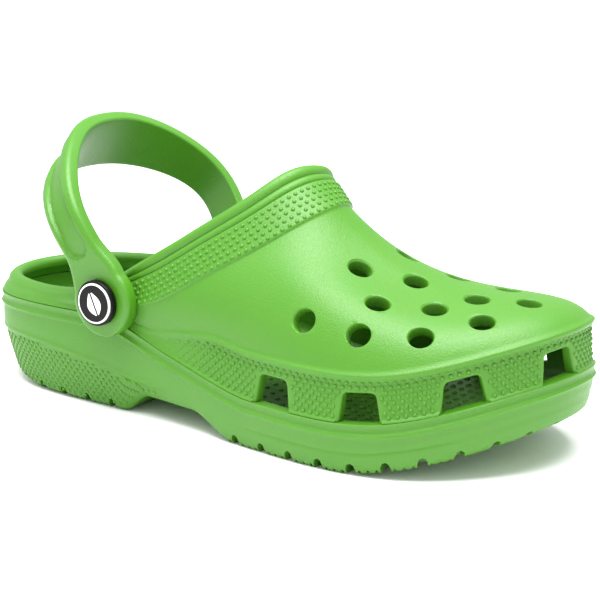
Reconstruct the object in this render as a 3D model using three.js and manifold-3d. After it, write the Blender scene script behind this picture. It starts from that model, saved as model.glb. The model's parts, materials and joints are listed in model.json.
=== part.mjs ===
// Moulded foam garden clog for the right foot: a sole and an upper, a heel strap that swings on two
// snap rivets, and a printed badge in each rivet head.
// Millimetres, +Z up, +X to the toe, +Y to the inner (medial) side, origin on the ground under the middle.

import * as THREE from 'three';
import { mergeVertices } from 'three/addons/utils/BufferGeometryUtils.js';
import Module from 'manifold-3d';

const wasm = await Module();
wasm.setup();

// ---------------------------------------------------------------- driving dimensions

const LENGTH = 290.4; // heel to toe
const WIDTH = 119.5; // widest, at the ball of the foot
const COLLAR_TOP = 109.5; // highest edge of the foot opening above the ground
const CUFF_TOP = 95.5; // lower edge of the cuff band over the instep
const RIM_HEIGHT = 6.5; // heel rim above the parting line
const CUFF_RIM = RIM_HEIGHT * 0.66; // where the cuff's edge and the band's ridge run round the heel
const RIDGE_RIM = RIM_HEIGHT * 0.33;
const BAND_HEIGHT = 18.5; // side band of the upper, from the parting line to its ridge

const HEEL_WALL = 6.5; // wall of the heel cup
const VAMP_WALL = 5; // wall of the upper over the foot
const FIT_GAP = 0.3; // between pieces that touch
const FOOTBED_RADIUS = 5; // where the footbed turns up into the wall

const VENT_COUNT = 7; // side vents round the toe, from the parting line up
const VENT_FIRST = 207.5; // round the outline from the back of the heel to the first one's middle
const VENT_PITCH = 42.6;
const VENT_HEIGHT = 11.5;
const VENT_FOOT = 19; // width at the parting line
const VENT_REAR_SLOPE = 1.2; // how far its rear and front edges lean in at the top
const VENT_FRONT_SLOPE = 3.4;
const HOLE_DIAMETER = 9.8; // round holes over the toes

const PIVOT_FROM_HEEL = 92.6; // rivet axis, ahead of the back of the heel
const PIVOT_RISE = 9.93; // rivet axis above the parting line
const SEAT_DIAMETER = 19; // flat pad on the upper that the strap end turns on
const SEAT_CLEARANCE = 0.6; // between the strap end and the fullest part of the wall under it

const STRAP_REACH = 77; // length of each side of the strap, pivot to crown
const STRAP_WIDTH = 18.5; // above the rivets
const STRAP_CROWN_WIDTH = 27.5; // behind the heel
const STRAP_THICKNESS = 6.6;
const STRAP_EYE = 31; // round end of the strap, diameter
const STRAP_BULGE = 6; // sides of the loop stand out by this half way up
const STRAP_SQUARENESS = 2.28; // power of the loop's superellipse
const STRAP_LEAN = 18.7; // degrees back from upright at the pivot
const STRAP_SWEEP = 39; // degrees more at the crown

const HEAD_DIAMETER = 19.8; // rivet head
const HEAD_THICKNESS = 3.2;
const HEAD_EDGE = 0.5; // rounding of the head's rim
const SHANK_DIAMETER = 8;
const SHANK_CLEARANCE = 0.3; // radial, in the strap and in the wall
const BACK_DIAMETER = 16.5; // snap cap inside the shoe
const BACK_THICKNESS = 3;
const HEAD_RIM = 0.8; // edge left round the badge
const BADGE_THICKNESS = 0.9;

// ---------------------------------------------------------------- outline and heights

// Control points of closed curves, heel first, down the outer side to the toe and back along the
// inner side. x is close to a share of LENGTH and y to a share of WIDTH: place() makes them exact.
const OUTLINE = [
  [-0.5035, -0.13], [-0.452, -0.302], [-0.333, -0.37], [-0.191, -0.373], [-0.052, -0.402],
  [0.087, -0.462], [0.208, -0.508], [0.34, -0.476], [0.4445, -0.292], [0.5105, -0.052],
  [0.504, 0.247], [0.4167, 0.446], [0.295, 0.515], [0.1736, 0.498], [0.0347, 0.412],
  [-0.1042, 0.37], [-0.243, 0.365], [-0.37, 0.352], [-0.464, 0.275], [-0.508, 0.086],
];
// Edge of the foot opening. The third value is its rise from the heel rim (0) to COLLAR_TOP (1).
const COLLAR = [
  [-0.491, -0.118, 0.03], [-0.44, -0.267, 0.02], [-0.325, -0.34, 0.01], [-0.217, -0.352, 0.06],
  [-0.133, -0.335, 0.415], [-0.052, -0.276, 0.68], [0.012, -0.2, 0.86], [0.046, -0.109, 0.99],
  [0.059, -0.02, 1.015], [0.062, 0.06, 1], [0.06, 0.135, 0.975], [0.045, 0.21, 0.88],
  [0.005, 0.275, 0.71], [-0.05, 0.32, 0.54], [-0.117, 0.347, 0.355], [-0.184, 0.354, 0.16],
  [-0.255, 0.343, 0.05], [-0.36, 0.328, 0.045], [-0.45, 0.246, 0.04], [-0.494, 0.072, 0.035],
];
// Lower edge of the cuff band. The third value is its rise from the heel rim (0) to CUFF_TOP (1).
const CUFF = [
  [-0.492, -0.12, 0], [-0.442, -0.275, 0], [-0.325, -0.345, 0], [-0.194, -0.376, 0],
  [-0.104, -0.4, 0.23], [-0.018, -0.363, 0.56], [0.053, -0.297, 0.75], [0.103, -0.195, 0.91],
  [0.124, -0.09, 0.98], [0.127, 0.005, 0.99], [0.118, 0.09, 0.96], [0.092, 0.18, 0.86],
  [0.045, 0.27, 0.69], [-0.01, 0.34, 0.5], [-0.075, 0.385, 0.28], [-0.15, 0.39, 0.07],
  [-0.25, 0.36, 0], [-0.36, 0.338, 0], [-0.452, 0.255, 0], [-0.495, 0.075, 0],
];

// Heights above the ground at shares of LENGTH.
const SEAM = [[-0.51, 41], [-0.35, 42], [-0.21, 42.5], [-0.07, 31], [0.1, 21.3], [0.31, 23.2], [0.51, 40]];
const GROUND = [
  [-0.51, 14], [-0.44, 3.5], [-0.37, 0], [-0.18, 0], [-0.13, 9], [-0.04, 9], [0.05, 0], [0.23, 0],
  [0.36, 6], [0.51, 19],
];
const FOOTBED = [[-0.51, 31], [-0.33, 28], [-0.16, 27], [0, 21], [0.17, 16], [0.32, 18], [0.51, 27.5]];
// How far the tread edge stands in from the outline, and how full the band and vamp are.
const TREAD_INSET = [[-0.51, 13], [-0.38, 8], [-0.15, 5], [0.3, 4], [0.51, 8]];
const SEAM_INSET = 1;
const BAND_INSET = [[-0.5, 2], [-0.1, 2.5], [0.05, 4], [0.35, 4], [0.5, 2.6]];

// Curve through [share, value] pairs with no kinks, level at each high and low point.
function smooth(points) {
  const x = points.map((p) => p[0]);
  const z = points.map((p) => p[1]);
  const step = x.slice(1).map((v, i) => v - x[i]);
  const slope = step.map((h, i) => (z[i + 1] - z[i]) / h);
  const tangent = x.map((_, i) => {
    if (i === 0) return slope[0];
    if (i === x.length - 1) return slope[i - 1];
    if (slope[i - 1] * slope[i] <= 0) return 0;
    return (slope[i - 1] * step[i] + slope[i] * step[i - 1]) / (step[i - 1] + step[i]);
  });
  return (at) => {
    const q = Math.min(Math.max(at, x[0]), x[x.length - 1]);
    let i = x.length - 2;
    while (i > 0 && q < x[i]) i -= 1;
    const h = step[i];
    const t = (q - x[i]) / h;
    const start = (1 + 2 * t) * (1 - t) ** 2 * z[i] + t * (1 - t) ** 2 * h * tangent[i];
    return start + t * t * (3 - 2 * t) * z[i + 1] + t * t * (t - 1) * h * tangent[i + 1];
  };
}

const along = (curve) => (x) => curve(x / LENGTH);
const seamHeight = along(smooth(SEAM));
const groundHeight = along(smooth(GROUND));
const footbedHeight = along(smooth(FOOTBED));
const treadInset = along(smooth(TREAD_INSET));
const bandInset = along(smooth(BAND_INSET));
const wallAt = along(smooth([[-0.5, HEEL_WALL], [-0.3, HEEL_WALL], [-0.08, VAMP_WALL], [0.5, VAMP_WALL]]));

// Point of a closed uniform cubic B-spline at u, 0 to 1 round the shoe.
function onRing(control, u) {
  const n = control.length;
  const s = (((u % 1) + 1) % 1) * n;
  const i = Math.floor(s);
  const f = s - i;
  const weight = [(1 - f) ** 3, 3 * f ** 3 - 6 * f ** 2 + 4, -3 * f ** 3 + 3 * f ** 2 + 3 * f + 1, f ** 3];
  return control[0].map((_, axis) =>
    weight.reduce((sum, w, k) => sum + (w / 6) * control[(i - 1 + k + n) % n][axis], 0));
}

// Lowest, highest and middle value of the outline's curve along one axis.
function extent(axis) {
  const values = Array.from({ length: 2000 }, (_, i) => onRing(OUTLINE, i / 2000)[axis]);
  const low = Math.min(...values);
  const high = Math.max(...values);
  return { size: high - low, middle: (low + high) / 2 };
}

const lengthwise = extent(0);
const crosswise = extent(1);
const place = (x, y) => new THREE.Vector2(
  ((x - lengthwise.middle) / lengthwise.size) * LENGTH,
  ((y - crosswise.middle) / crosswise.size) * WIDTH,
);

function outlinePoint(u) {
  const [x, y] = onRing(OUTLINE, u);
  return place(x, y);
}

// Outline moved inwards by inset, square to itself.
function insetOutline(u, inset) {
  const small = 1e-4;
  const run = outlinePoint(u + small).sub(outlinePoint(u - small)).normalize();
  const point = outlinePoint(u);
  return new THREE.Vector2(point.x - run.y * inset, point.y + run.x * inset);
}

const at = (plan, z) => new THREE.Vector3(plan.x, plan.y, z);

// ---------------------------------------------------------------- upper surface

const seamPoint = (u, lift = 0, inset = SEAM_INSET) => {
  const plan = insetOutline(u, inset);
  return at(plan, seamHeight(plan.x) + lift);
};

// Point of a curve that runs at rimLift above the parting line round the heel and up to top in front.
function risingPoint(u, control, rimLift, top) {
  const [x, y, rise] = onRing(control, u);
  const plan = place(x, y);
  const rim = seamHeight(plan.x) + rimLift;
  return at(plan, rim + (top - rim) * rise);
}

const collarEdge = (u) => risingPoint(u, COLLAR, RIM_HEIGHT, COLLAR_TOP);
const cuffEdge = (u) => risingPoint(u, CUFF, CUFF_RIM, CUFF_TOP);

// 0 round the heel and 1 where the vamp covers the foot, from the cuff's own rise.
const FULL_VAMP_RISE = 0.43;
const vampShare = (u) => THREE.MathUtils.smoothstep(onRing(CUFF, u)[2], 0, FULL_VAMP_RISE);

// Ridge at the top of the side band.
function ridgePoint(u) {
  const plan = insetOutline(u, bandInset(outlinePoint(u).x));
  const lift = THREE.MathUtils.lerp(RIDGE_RIM, BAND_HEIGHT, vampShare(u));
  return at(plan, seamHeight(plan.x) + lift);
}

// The vamp leaves its ridge steeply and meets the cuff at its own slope. At the sides it is full
// all the way up, and over the toes it dips between the toe box and the instep. Slopes are degrees
// from the chord, reaches are shares of it.
const SIDE_VAMP = { ridgeSlope: 24, ridgeReach: 0.33, cuffSlope: -12, cuffReach: 0.33 };
const TOE_VAMP = { ridgeSlope: 34, ridgeReach: 0.2, cuffSlope: 24, cuffReach: 0.55 };

function vampCurve(u) {
  const low = ridgePoint(u);
  const high = cuffEdge(u);
  const chord = high.clone().sub(low);
  const inward = new THREE.Vector3(chord.x, chord.y, 0).normalize();
  const slope = Math.atan2(chord.z, Math.hypot(chord.x, chord.y));
  const toe = THREE.MathUtils.smoothstep(low.x, 0.2 * LENGTH, 0.46 * LENGTH);
  const shape = (key) => THREE.MathUtils.lerp(SIDE_VAMP[key], TOE_VAMP[key], toe);
  const heading = (turn, reach) => {
    const angle = slope + THREE.MathUtils.degToRad(turn) * vampShare(u);
    const run = inward.clone().multiplyScalar(Math.cos(angle) * reach * chord.length());
    return run.setZ(Math.sin(angle) * reach * chord.length());
  };
  return new THREE.CubicBezierCurve3(low, low.clone().add(heading(shape('ridgeSlope'), shape('ridgeReach'))),
    high.clone().sub(heading(shape('cuffSlope'), shape('cuffReach'))), high);
}

// Rows of the outer face from the parting line (0) up to the collar edge.
const VAMP_ROWS = 6;

function outerColumn(u) {
  const foot = seamPoint(u, FIT_GAP / 2);
  const ridge = ridgePoint(u);
  const vamp = vampCurve(u);
  const cuff = cuffEdge(u);
  const edge = collarEdge(u);
  const column = [foot, foot.clone().lerp(ridge, 0.5)];
  for (let i = 0; i <= VAMP_ROWS; i += 1) column.push(vamp.getPoint(i / VAMP_ROWS));
  column.push(cuff.clone().lerp(edge, 0.5), edge);
  return column;
}

// ---------------------------------------------------------------- mesh helpers

function geometryOf(points, faces) {
  const geometry = new THREE.BufferGeometry();
  geometry.setAttribute('position', new THREE.Float32BufferAttribute(points.flatMap((p) => p.toArray()), 3));
  geometry.setIndex(faces.flat());
  return geometry;
}

function toSolid(geometry) {
  const bare = geometry.clone();
  bare.deleteAttribute('normal');
  bare.deleteAttribute('uv');
  const merged = mergeVertices(bare, 1e-4);
  return new wasm.Manifold(new wasm.Mesh({
    numProp: 3,
    vertProperties: new Float32Array(merged.attributes.position.array),
    triVerts: new Uint32Array(merged.index.array),
  }));
}

function toGeometry(solid) {
  const mesh = solid.getMesh();
  const geometry = new THREE.BufferGeometry();
  geometry.setAttribute('position', new THREE.BufferAttribute(mesh.vertProperties, 3));
  geometry.setIndex(new THREE.BufferAttribute(mesh.triVerts, 1));
  geometry.computeVertexNormals();
  return geometry;
}

// Closed skin over rings of points. Each ring closes on itself, and so does the list of rings when
// loop is true. Otherwise the first and last rings are capped across, point k to its partner.
function skin(rings, { loop = false } = {}) {
  const n = rings[0].length;
  const faces = [];
  const last = loop ? rings.length : rings.length - 1;
  for (let r = 0; r < last; r += 1) {
    const low = r * n;
    const high = ((r + 1) % rings.length) * n;
    for (let k = 0; k < n; k += 1) {
      const next = (k + 1) % n;
      faces.push([low + k, low + next, high + next], [low + k, high + next, high + k]);
    }
  }
  if (!loop) {
    const top = (rings.length - 1) * n;
    for (let k = 0; k < n / 2; k += 1) {
      const far = (n - k) % n;
      const farNext = n - k - 1;
      for (const [p, q, s] of [[k, far, farNext], [k, farNext, k + 1]]) {
        if (p !== q && q !== s && s !== p) {
          faces.push([p, q, s]);
          faces.push([top + p, top + s, top + q]);
        }
      }
    }
  }
  return geometryOf(rings.flat(), faces);
}

// ---------------------------------------------------------------- sole

// Shares of u whose points pair up across the foot at equal x, heel tip to toe tip and back.
const STATIONS = 36;

function extreme(sign) {
  let best = 0;
  for (let i = 0; i < 4000; i += 1) {
    if (sign * outlinePoint(i / 4000).x > sign * outlinePoint(best).x) best = i / 4000;
  }
  return best;
}

const HEEL_U = extreme(-1) > 0.5 ? extreme(-1) - 1 : extreme(-1);
const TOE_U = extreme(1);

function shareAtX(x, from, to) {
  let low = from;
  let high = to;
  for (let i = 0; i < 40; i += 1) {
    const middle = (low + high) / 2;
    if ((outlinePoint(middle).x < x) === (outlinePoint(from).x < outlinePoint(to).x)) low = middle;
    else high = middle;
  }
  return (low + high) / 2;
}

const pairedShares = (() => {
  const back = outlinePoint(HEEL_U).x;
  const front = outlinePoint(TOE_U).x;
  const shares = [];
  for (let k = 0; k <= STATIONS; k += 1) {
    const x = back + (front - back) * (1 - Math.cos((Math.PI * k) / STATIONS)) / 2;
    if (k === 0) shares.push(HEEL_U);
    else if (k === STATIONS) shares.push(TOE_U);
    else shares.push(shareAtX(x, HEEL_U, TOE_U));
  }
  for (let k = STATIONS - 1; k > 0; k -= 1) {
    const x = back + (front - back) * (1 - Math.cos((Math.PI * k) / STATIONS)) / 2;
    shares.push(shareAtX(x, TOE_U, HEEL_U + 1));
  }
  return shares;
})();

function ringAt(insetOf, heightOf) {
  return pairedShares.map((u) => {
    const plan = insetOutline(u, insetOf(outlinePoint(u).x));
    return at(plan, heightOf(plan.x));
  });
}

// The wall rises from the tread's rounded edge, leans out and is upright from FULL_SHARE of the way
// to the parting line. The inset left at each level is a share of the tread's own.
const TREAD_ROUND = 2.5;
const ROUND_INSET = 0.62;
const LEANING_SHARE = 0.45;
const LEANING_INSET = 0.2;
const FULL_SHARE = 0.75;
const FILLET_MIDDLE = 0.3; // of the footbed's radius, both ways
const LIP = 0.5; // least depth of the hollow's upright wall under the parting line

function buildSole() {
  const upTo = (share) => (x) => THREE.MathUtils.lerp(groundHeight(x), seamHeight(x), share);
  const wall = [
    ringAt(treadInset, groundHeight),
    ringAt((x) => treadInset(x) * ROUND_INSET, (x) => groundHeight(x) + TREAD_ROUND),
    ringAt((x) => treadInset(x) * LEANING_INSET, upTo(LEANING_SHARE)),
    ringAt(() => 0, upTo(FULL_SHARE)),
    ringAt(() => SEAM_INSET, (x) => seamHeight(x) - FIT_GAP / 2),
  ];
  const inside = (extra) => (x) => SEAM_INSET + wallAt(x) + extra;
  const middle = FOOTBED_RADIUS * FILLET_MIDDLE;
  const hollow = [
    ringAt(inside(FOOTBED_RADIUS), footbedHeight),
    ringAt(inside(middle), (x) => footbedHeight(x) + middle),
    ringAt(inside(0), (x) => Math.min(footbedHeight(x) + FOOTBED_RADIUS, seamHeight(x) - LIP)),
    ringAt(inside(0), (x) => seamHeight(x) + FOOTBED_RADIUS),
  ];
  return toSolid(skin(wall)).subtract(toSolid(skin(hollow)));
}

// ---------------------------------------------------------------- rivet axis and strap seats

const PIVOT_X = PIVOT_FROM_HEEL - LENGTH / 2;
const PIVOT_HEIGHT = seamHeight(PIVOT_X) + PIVOT_RISE;

// Fullest half width of the outline under a strap end.
const FULLEST_WALL = Math.max(...Array.from({ length: 1000 }, (_, i) => outlinePoint(i / 1000))
  .filter((p) => Math.abs(p.x - PIVOT_X) < STRAP_EYE / 2)
  .map((p) => Math.abs(p.y)));
const SEAT_Y = FULLEST_WALL + SEAT_CLEARANCE - FIT_GAP;
const PAD_DEPTH = 2 * wallAt(PIVOT_X) - 1; // from the pad's face through the wall to the cap's seat
const STRAP_INNER_Y = SEAT_Y + FIT_GAP;
const STRAP_OUTER_Y = STRAP_INNER_Y + STRAP_THICKNESS;
const INNER_SEAT_Y = SEAT_Y - PAD_DEPTH;

// Round bar along the rivet axis, between two distances out from the middle of the shoe.
function turnedBar(side, diameter, from, to, segments = 24) {
  const bar = new THREE.CylinderGeometry(diameter / 2, diameter / 2, to - from, segments);
  bar.translate(PIVOT_X, side * (from + to) / 2, PIVOT_HEIGHT);
  return toSolid(bar);
}

// Everything below the parting line and a little wider than the shoe.
const belowSeam = (() => {
  const beyond = () => -2 * SEAT_CLEARANCE - VAMP_WALL;
  return toSolid(skin([ringAt(beyond, () => -1), ringAt(beyond, (x) => seamHeight(x) + FIT_GAP / 2)]));
})();
const seatPad = (side) => turnedBar(side, SEAT_DIAMETER, INNER_SEAT_Y, SEAT_Y).subtract(belowSeam);
const BEYOND = 5; // how far a cutter runs past what it cuts
const shankHole = (side) => turnedBar(side, SHANK_DIAMETER + 2 * SHANK_CLEARANCE,
  INNER_SEAT_Y - BEYOND, STRAP_OUTER_Y + BEYOND);
// Flat spot face inside the wall for the snap cap.
const CAP_ROOM = 1; // round the snap cap
const backSeat = (side) => turnedBar(side, BACK_DIAMETER + 2 * CAP_ROOM,
  INNER_SEAT_Y - 3 * BACK_THICKNESS, INNER_SEAT_Y);

// ---------------------------------------------------------------- openings in the upper

// Middles of the round holes over the toes, seen from above, as shares of LENGTH and WIDTH.
const VAMP_HOLES = [
  [0.17, -0.414], [0.256, -0.406], [0.336, -0.338], [0.395, -0.191], [0.422, 0.011], [0.197, -0.168],
  [0.255, -0.283], [0.323, -0.195], [0.358, -0.063], [0.265, -0.078], [0.213, 0.079], [0.289, 0.112],
  [0.365, 0.129],
];

// Surface point and outward direction of the vamp above a place in plan: the nearest of a coarse net
// over the vamp, then closer and closer steps round it.
const NET = { from: 0.15, to: 0.75, round: 100, up: 20 };

function onVamp(x, y) {
  let best = { miss: Infinity };
  const look = (u, t) => {
    const point = vampCurve(u).getPoint(t);
    const miss = Math.hypot(point.x - x, point.y - y);
    if (miss < best.miss) best = { miss, u, t, point };
  };
  for (let i = 0; i <= NET.round; i += 1) {
    const u = THREE.MathUtils.lerp(NET.from, NET.to, i / NET.round);
    for (let j = 0; j <= NET.up; j += 1) look(u, j / NET.up);
  }
  for (let step = 0.5; step > 1e-4; step *= 0.6) {
    const { u, t } = best;
    for (const [a, b] of [[-1, 0], [1, 0], [0, -1], [0, 1]]) {
      const nextU = u + a * step * (NET.to - NET.from) / NET.round;
      look(nextU, THREE.MathUtils.clamp(t + b * step / NET.up, 0, 1));
    }
  }
  const small = 1e-3;
  const round = vampCurve(best.u + small).getPoint(best.t).sub(vampCurve(best.u - small).getPoint(best.t));
  const up = vampCurve(best.u).getTangent(THREE.MathUtils.clamp(best.t, small, 1 - small));
  return { point: best.point, normal: round.cross(up).normalize() };
}

function holeCutter(x, y) {
  const { point, normal } = onVamp(x, y);
  const reach = VAMP_WALL * 3;
  const bar = new THREE.CylinderGeometry(HOLE_DIAMETER / 2, HOLE_DIAMETER / 2, reach, 16);
  bar.applyQuaternion(new THREE.Quaternion().setFromUnitVectors(new THREE.Vector3(0, 1, 0), normal));
  bar.translate(...point.clone().addScaledVector(normal, -VAMP_WALL / 2).toArray());
  return toSolid(bar);
}

// Share of u at a distance round the outline from the back of the heel.
const ARC = (() => {
  const table = [{ u: HEEL_U, distance: 0 }];
  const steps = 1500;
  for (let i = 1; i <= steps; i += 1) {
    const u = HEEL_U + i / steps;
    const last = table[i - 1];
    table.push({ u, distance: last.distance + outlinePoint(u).distanceTo(outlinePoint(last.u)) });
  }
  return table;
})();
const shareAtArc = (distance) => ARC.find((entry) => entry.distance >= distance).u;

// Four-sided plug through the side band, from below the parting line up.
function ventCutter(middle) {
  const rear = insetOutline(shareAtArc(middle - VENT_FOOT / 2), 0);
  const front = insetOutline(shareAtArc(middle + VENT_FOOT / 2), 0);
  const run = front.clone().sub(rear);
  const width = run.length();
  const shape = new THREE.Shape([
    new THREE.Vector2(0, seamHeight(rear.x) - VAMP_WALL),
    new THREE.Vector2(width, seamHeight(front.x) - VAMP_WALL),
    new THREE.Vector2(width - VENT_FRONT_SLOPE, seamHeight(front.x) + VENT_HEIGHT),
    new THREE.Vector2(VENT_REAR_SLOPE, seamHeight(rear.x) + VENT_HEIGHT),
  ]);
  const depth = VAMP_WALL * 5;
  const plug = new THREE.ExtrudeGeometry(shape, { depth, bevelEnabled: false });
  plug.translate(0, 0, -depth / 2);
  plug.rotateX(Math.PI / 2);
  plug.rotateZ(Math.atan2(run.y, run.x));
  plug.translate(rear.x, rear.y, 0);
  return toSolid(plug);
}

// ---------------------------------------------------------------- upper

function buildUpper() {
  const outer = pairedShares.map(outerColumn);
  const columns = outer.length;
  const rows = outer[0].length;
  const normals = outer.map((column, i) => column.map((point, j) => {
    const before = outer[(i + columns - 1) % columns];
    const after = outer[(i + 1) % columns];
    const round = after[j].clone().sub(before[j]);
    const up = column[Math.min(j + 1, rows - 1)].clone().sub(column[Math.max(j - 1, 0)]);
    return round.cross(up).normalize();
  }));
  const rings = [];
  for (let j = 0; j < rows; j += 1) rings.push(outer.map((column) => column[j]));
  for (let j = rows - 1; j >= 0; j -= 1) {
    rings.push(outer.map((column, i) => {
      const u = pairedShares[i];
      const wall = wallAt(outlinePoint(u).x);
      if (j === 0) return seamPoint(u, FIT_GAP / 2, SEAM_INSET + wall);
      const plan = insetOutline(u, wall).sub(outlinePoint(u)).divideScalar(wall);
      const into = at(plan, 0).lerp(normals[i][j].clone().negate(), vampShare(u));
      return column[j].clone().addScaledVector(into, wall);
    }));
  }
  let solid = toSolid(skin(rings, { loop: true }));
  for (const side of [-1, 1]) solid = solid.add(seatPad(side));
  for (let i = 0; i < VENT_COUNT; i += 1) solid = solid.subtract(ventCutter(VENT_FIRST + i * VENT_PITCH));
  for (const [x, y] of VAMP_HOLES) solid = solid.subtract(holeCutter(x * LENGTH, y * WIDTH));
  for (const side of [-1, 1]) solid = solid.subtract(shankHole(side)).subtract(backSeat(side));
  return solid;
}

// ---------------------------------------------------------------- heel strap

const leanAtPivot = THREE.MathUtils.degToRad(STRAP_LEAN);
const leanPerMm = THREE.MathUtils.degToRad(STRAP_SWEEP) / STRAP_REACH;
const STRAP_HALF_SPAN = STRAP_INNER_Y + STRAP_THICKNESS / 2;
const STRAP_FLAT = HEAD_DIAMETER / 2 + 1; // straight part beside the rivet head
const STRAP_FLARE = 25; // length over which the strap widens into its round end
const STRAP_STEPS = 30;
const STRAP_EDGE = 1.6; // corner cut of its section
const STRAP_NECK = 0.85; // of the round end's diameter, where the strap leaves it

// Middle of the strap and its lean, at angle turn (-90 to 90 degrees, crown at 0) round the loop.
function strapPoint(turn) {
  const rise = Math.cos(turn) <= 0 ? 0 : Math.cos(turn) ** (2 / STRAP_SQUARENESS);
  const lean = leanAtPivot + leanPerMm * rise * STRAP_REACH;
  const loop = Math.max(0, rise * STRAP_REACH - STRAP_FLAT) / (STRAP_REACH - STRAP_FLAT);
  const out = Math.max(0, 1 - loop ** STRAP_SQUARENESS) ** (1 / STRAP_SQUARENESS) * Math.sign(turn);
  const bulge = STRAP_BULGE * Math.sin(Math.PI * loop) ** 1.5;
  return {
    lean,
    height: rise * STRAP_REACH,
    centre: new THREE.Vector3(
      PIVOT_X - (Math.cos(leanAtPivot) - Math.cos(lean)) / leanPerMm,
      out * (STRAP_HALF_SPAN + bulge),
      PIVOT_HEIGHT + (Math.sin(lean) - Math.sin(leanAtPivot)) / leanPerMm,
    ),
  };
}

function strapSection(turn) {
  const { centre, lean, height } = strapPoint(turn);
  const small = 0.004;
  const limit = Math.PI / 2;
  const ahead = strapPoint(Math.min(turn + small, limit)).centre;
  const behind = strapPoint(Math.max(turn - small, -limit)).centre;
  const run = ahead.sub(behind).normalize();
  const across = new THREE.Vector3(Math.cos(lean), 0, Math.sin(lean));
  const out = run.clone().cross(across).normalize();
  const flare = 1 - THREE.MathUtils.smoothstep(height, STRAP_EYE / 4, STRAP_FLARE);
  const behindHeel = THREE.MathUtils.smoothstep(height, STRAP_FLARE, STRAP_REACH);
  const band = THREE.MathUtils.lerp(STRAP_WIDTH, STRAP_CROWN_WIDTH, behindHeel);
  const w = THREE.MathUtils.lerp(band, STRAP_EYE * STRAP_NECK, flare) / 2;
  const t = STRAP_THICKNESS / 2;
  const e = STRAP_EDGE;
  const corners = [
    [w, t - e], [w - e, t], [e - w, t], [-w, t - e], [-w, e - t], [e - w, -t], [w - e, -t], [w, e - t],
  ];
  return corners.map(([a, b]) => centre.clone().addScaledVector(across, a).addScaledVector(out, b));
}

function buildStrap() {
  const rings = [];
  for (let i = 0; i <= STRAP_STEPS; i += 1) rings.push(strapSection((i / STRAP_STEPS - 0.5) * Math.PI));
  const n = rings[0].length;
  const faces = [];
  for (let r = 0; r < STRAP_STEPS; r += 1) {
    for (let k = 0; k < n; k += 1) {
      const next = (k + 1) % n;
      const [a, b, c, d] = [r * n + k, r * n + next, (r + 1) * n + next, (r + 1) * n + k];
      faces.push([a, b, c], [a, c, d]);
    }
  }
  const last = STRAP_STEPS * n;
  for (let k = 1; k < n - 1; k += 1) {
    faces.push([0, k + 1, k], [last, last + k, last + k + 1]);
  }
  let solid = toSolid(geometryOf(rings.flat(), faces));
  for (const side of [-1, 1]) solid = solid.add(turnedBar(side, STRAP_EYE, STRAP_INNER_Y, STRAP_OUTER_Y, 32));
  for (const side of [-1, 1]) solid = solid.subtract(shankHole(side));
  return solid;
}

// ---------------------------------------------------------------- rivets and badges

const CAP_EDGE = 1; // rounding of the snap cap
const SOCKET_WALL = 1; // closed end of the snap cap
const SHANK_EDGE = 0.5; // cut corner of the shank's tip
const BADGE_EDGE = 0.3; // cut corner of the badge's face

// Closed solid of revolution round the rivet axis. Profile points are [radius, distance out].
function turned(side, profile) {
  const lathe = new THREE.LatheGeometry(profile.map(([r, out]) => new THREE.Vector2(r, out)), 24);
  if (side < 0) lathe.rotateX(Math.PI);
  lathe.translate(PIVOT_X, 0, PIVOT_HEIGHT);
  return toGeometry(toSolid(lathe));
}

const HEAD_FOOT = STRAP_OUTER_Y + FIT_GAP;
const HEAD_FACE = HEAD_FOOT + HEAD_THICKNESS;
const BADGE_FOOT = HEAD_FACE - BADGE_THICKNESS / 2;
const BACK_FACE = INNER_SEAT_Y - FIT_GAP;
const SHANK_TIP = BACK_FACE - BACK_THICKNESS + SOCKET_WALL + FIT_GAP;

function rivetHead(side) {
  const r = HEAD_DIAMETER / 2;
  const shank = SHANK_DIAMETER / 2;
  const recess = r - HEAD_RIM;
  const corner = HEAD_EDGE * 0.3; // middle of the rounded edge, in from both faces
  return turned(side, [
    [0, SHANK_TIP], [shank - SHANK_EDGE, SHANK_TIP], [shank, SHANK_TIP + SHANK_EDGE], [shank, HEAD_FOOT],
    [r, HEAD_FOOT], [r, HEAD_FACE - HEAD_EDGE], [r - corner, HEAD_FACE - corner], [r - HEAD_EDGE, HEAD_FACE],
    [recess, HEAD_FACE], [recess, BADGE_FOOT - FIT_GAP], [0, BADGE_FOOT - FIT_GAP],
  ]);
}

function rivetBack(side) {
  const r = BACK_DIAMETER / 2;
  const socket = SHANK_DIAMETER / 2 + FIT_GAP;
  const far = BACK_FACE - BACK_THICKNESS;
  return turned(side, [
    [0, far], [r - CAP_EDGE, far], [r, far + CAP_EDGE], [r, BACK_FACE], [socket, BACK_FACE],
    [socket, far + SOCKET_WALL], [0, far + SOCKET_WALL],
  ]);
}

function badge(side) {
  const r = HEAD_DIAMETER / 2 - HEAD_RIM - FIT_GAP;
  const face = BADGE_FOOT + BADGE_THICKNESS;
  return turned(side, [
    [0, BADGE_FOOT], [r, BADGE_FOOT], [r, face - BADGE_EDGE], [r - BADGE_EDGE, face], [0, face],
  ]);
}

// ---------------------------------------------------------------- assembly

const FOAM = { color: 0x62c42f, roughness: 0.6, metalness: 0 };
const BLACK_PLASTIC = { color: 0x141414, roughness: 0.35, metalness: 0 };
const PRINTED_PLASTIC = { color: 0xf2f2f0, roughness: 0.4, metalness: 0 };

const group = new THREE.Group();

function add(name, geometry, finish) {
  const mesh = new THREE.Mesh(geometry, new THREE.MeshStandardMaterial(finish));
  mesh.name = name;
  group.add(mesh);
}

add('sole', toGeometry(buildSole()), FOAM);
add('upper', toGeometry(buildUpper()), FOAM);
add('heel_strap', toGeometry(buildStrap()), FOAM);
for (const [side, label] of [[-1, 'lateral'], [1, 'medial']]) {
  add(`rivet_head_${label}`, rivetHead(side), BLACK_PLASTIC);
  add(`rivet_back_${label}`, rivetBack(side), BLACK_PLASTIC);
  add(`badge_${label}`, badge(side), PRINTED_PLASTIC);
}

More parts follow.
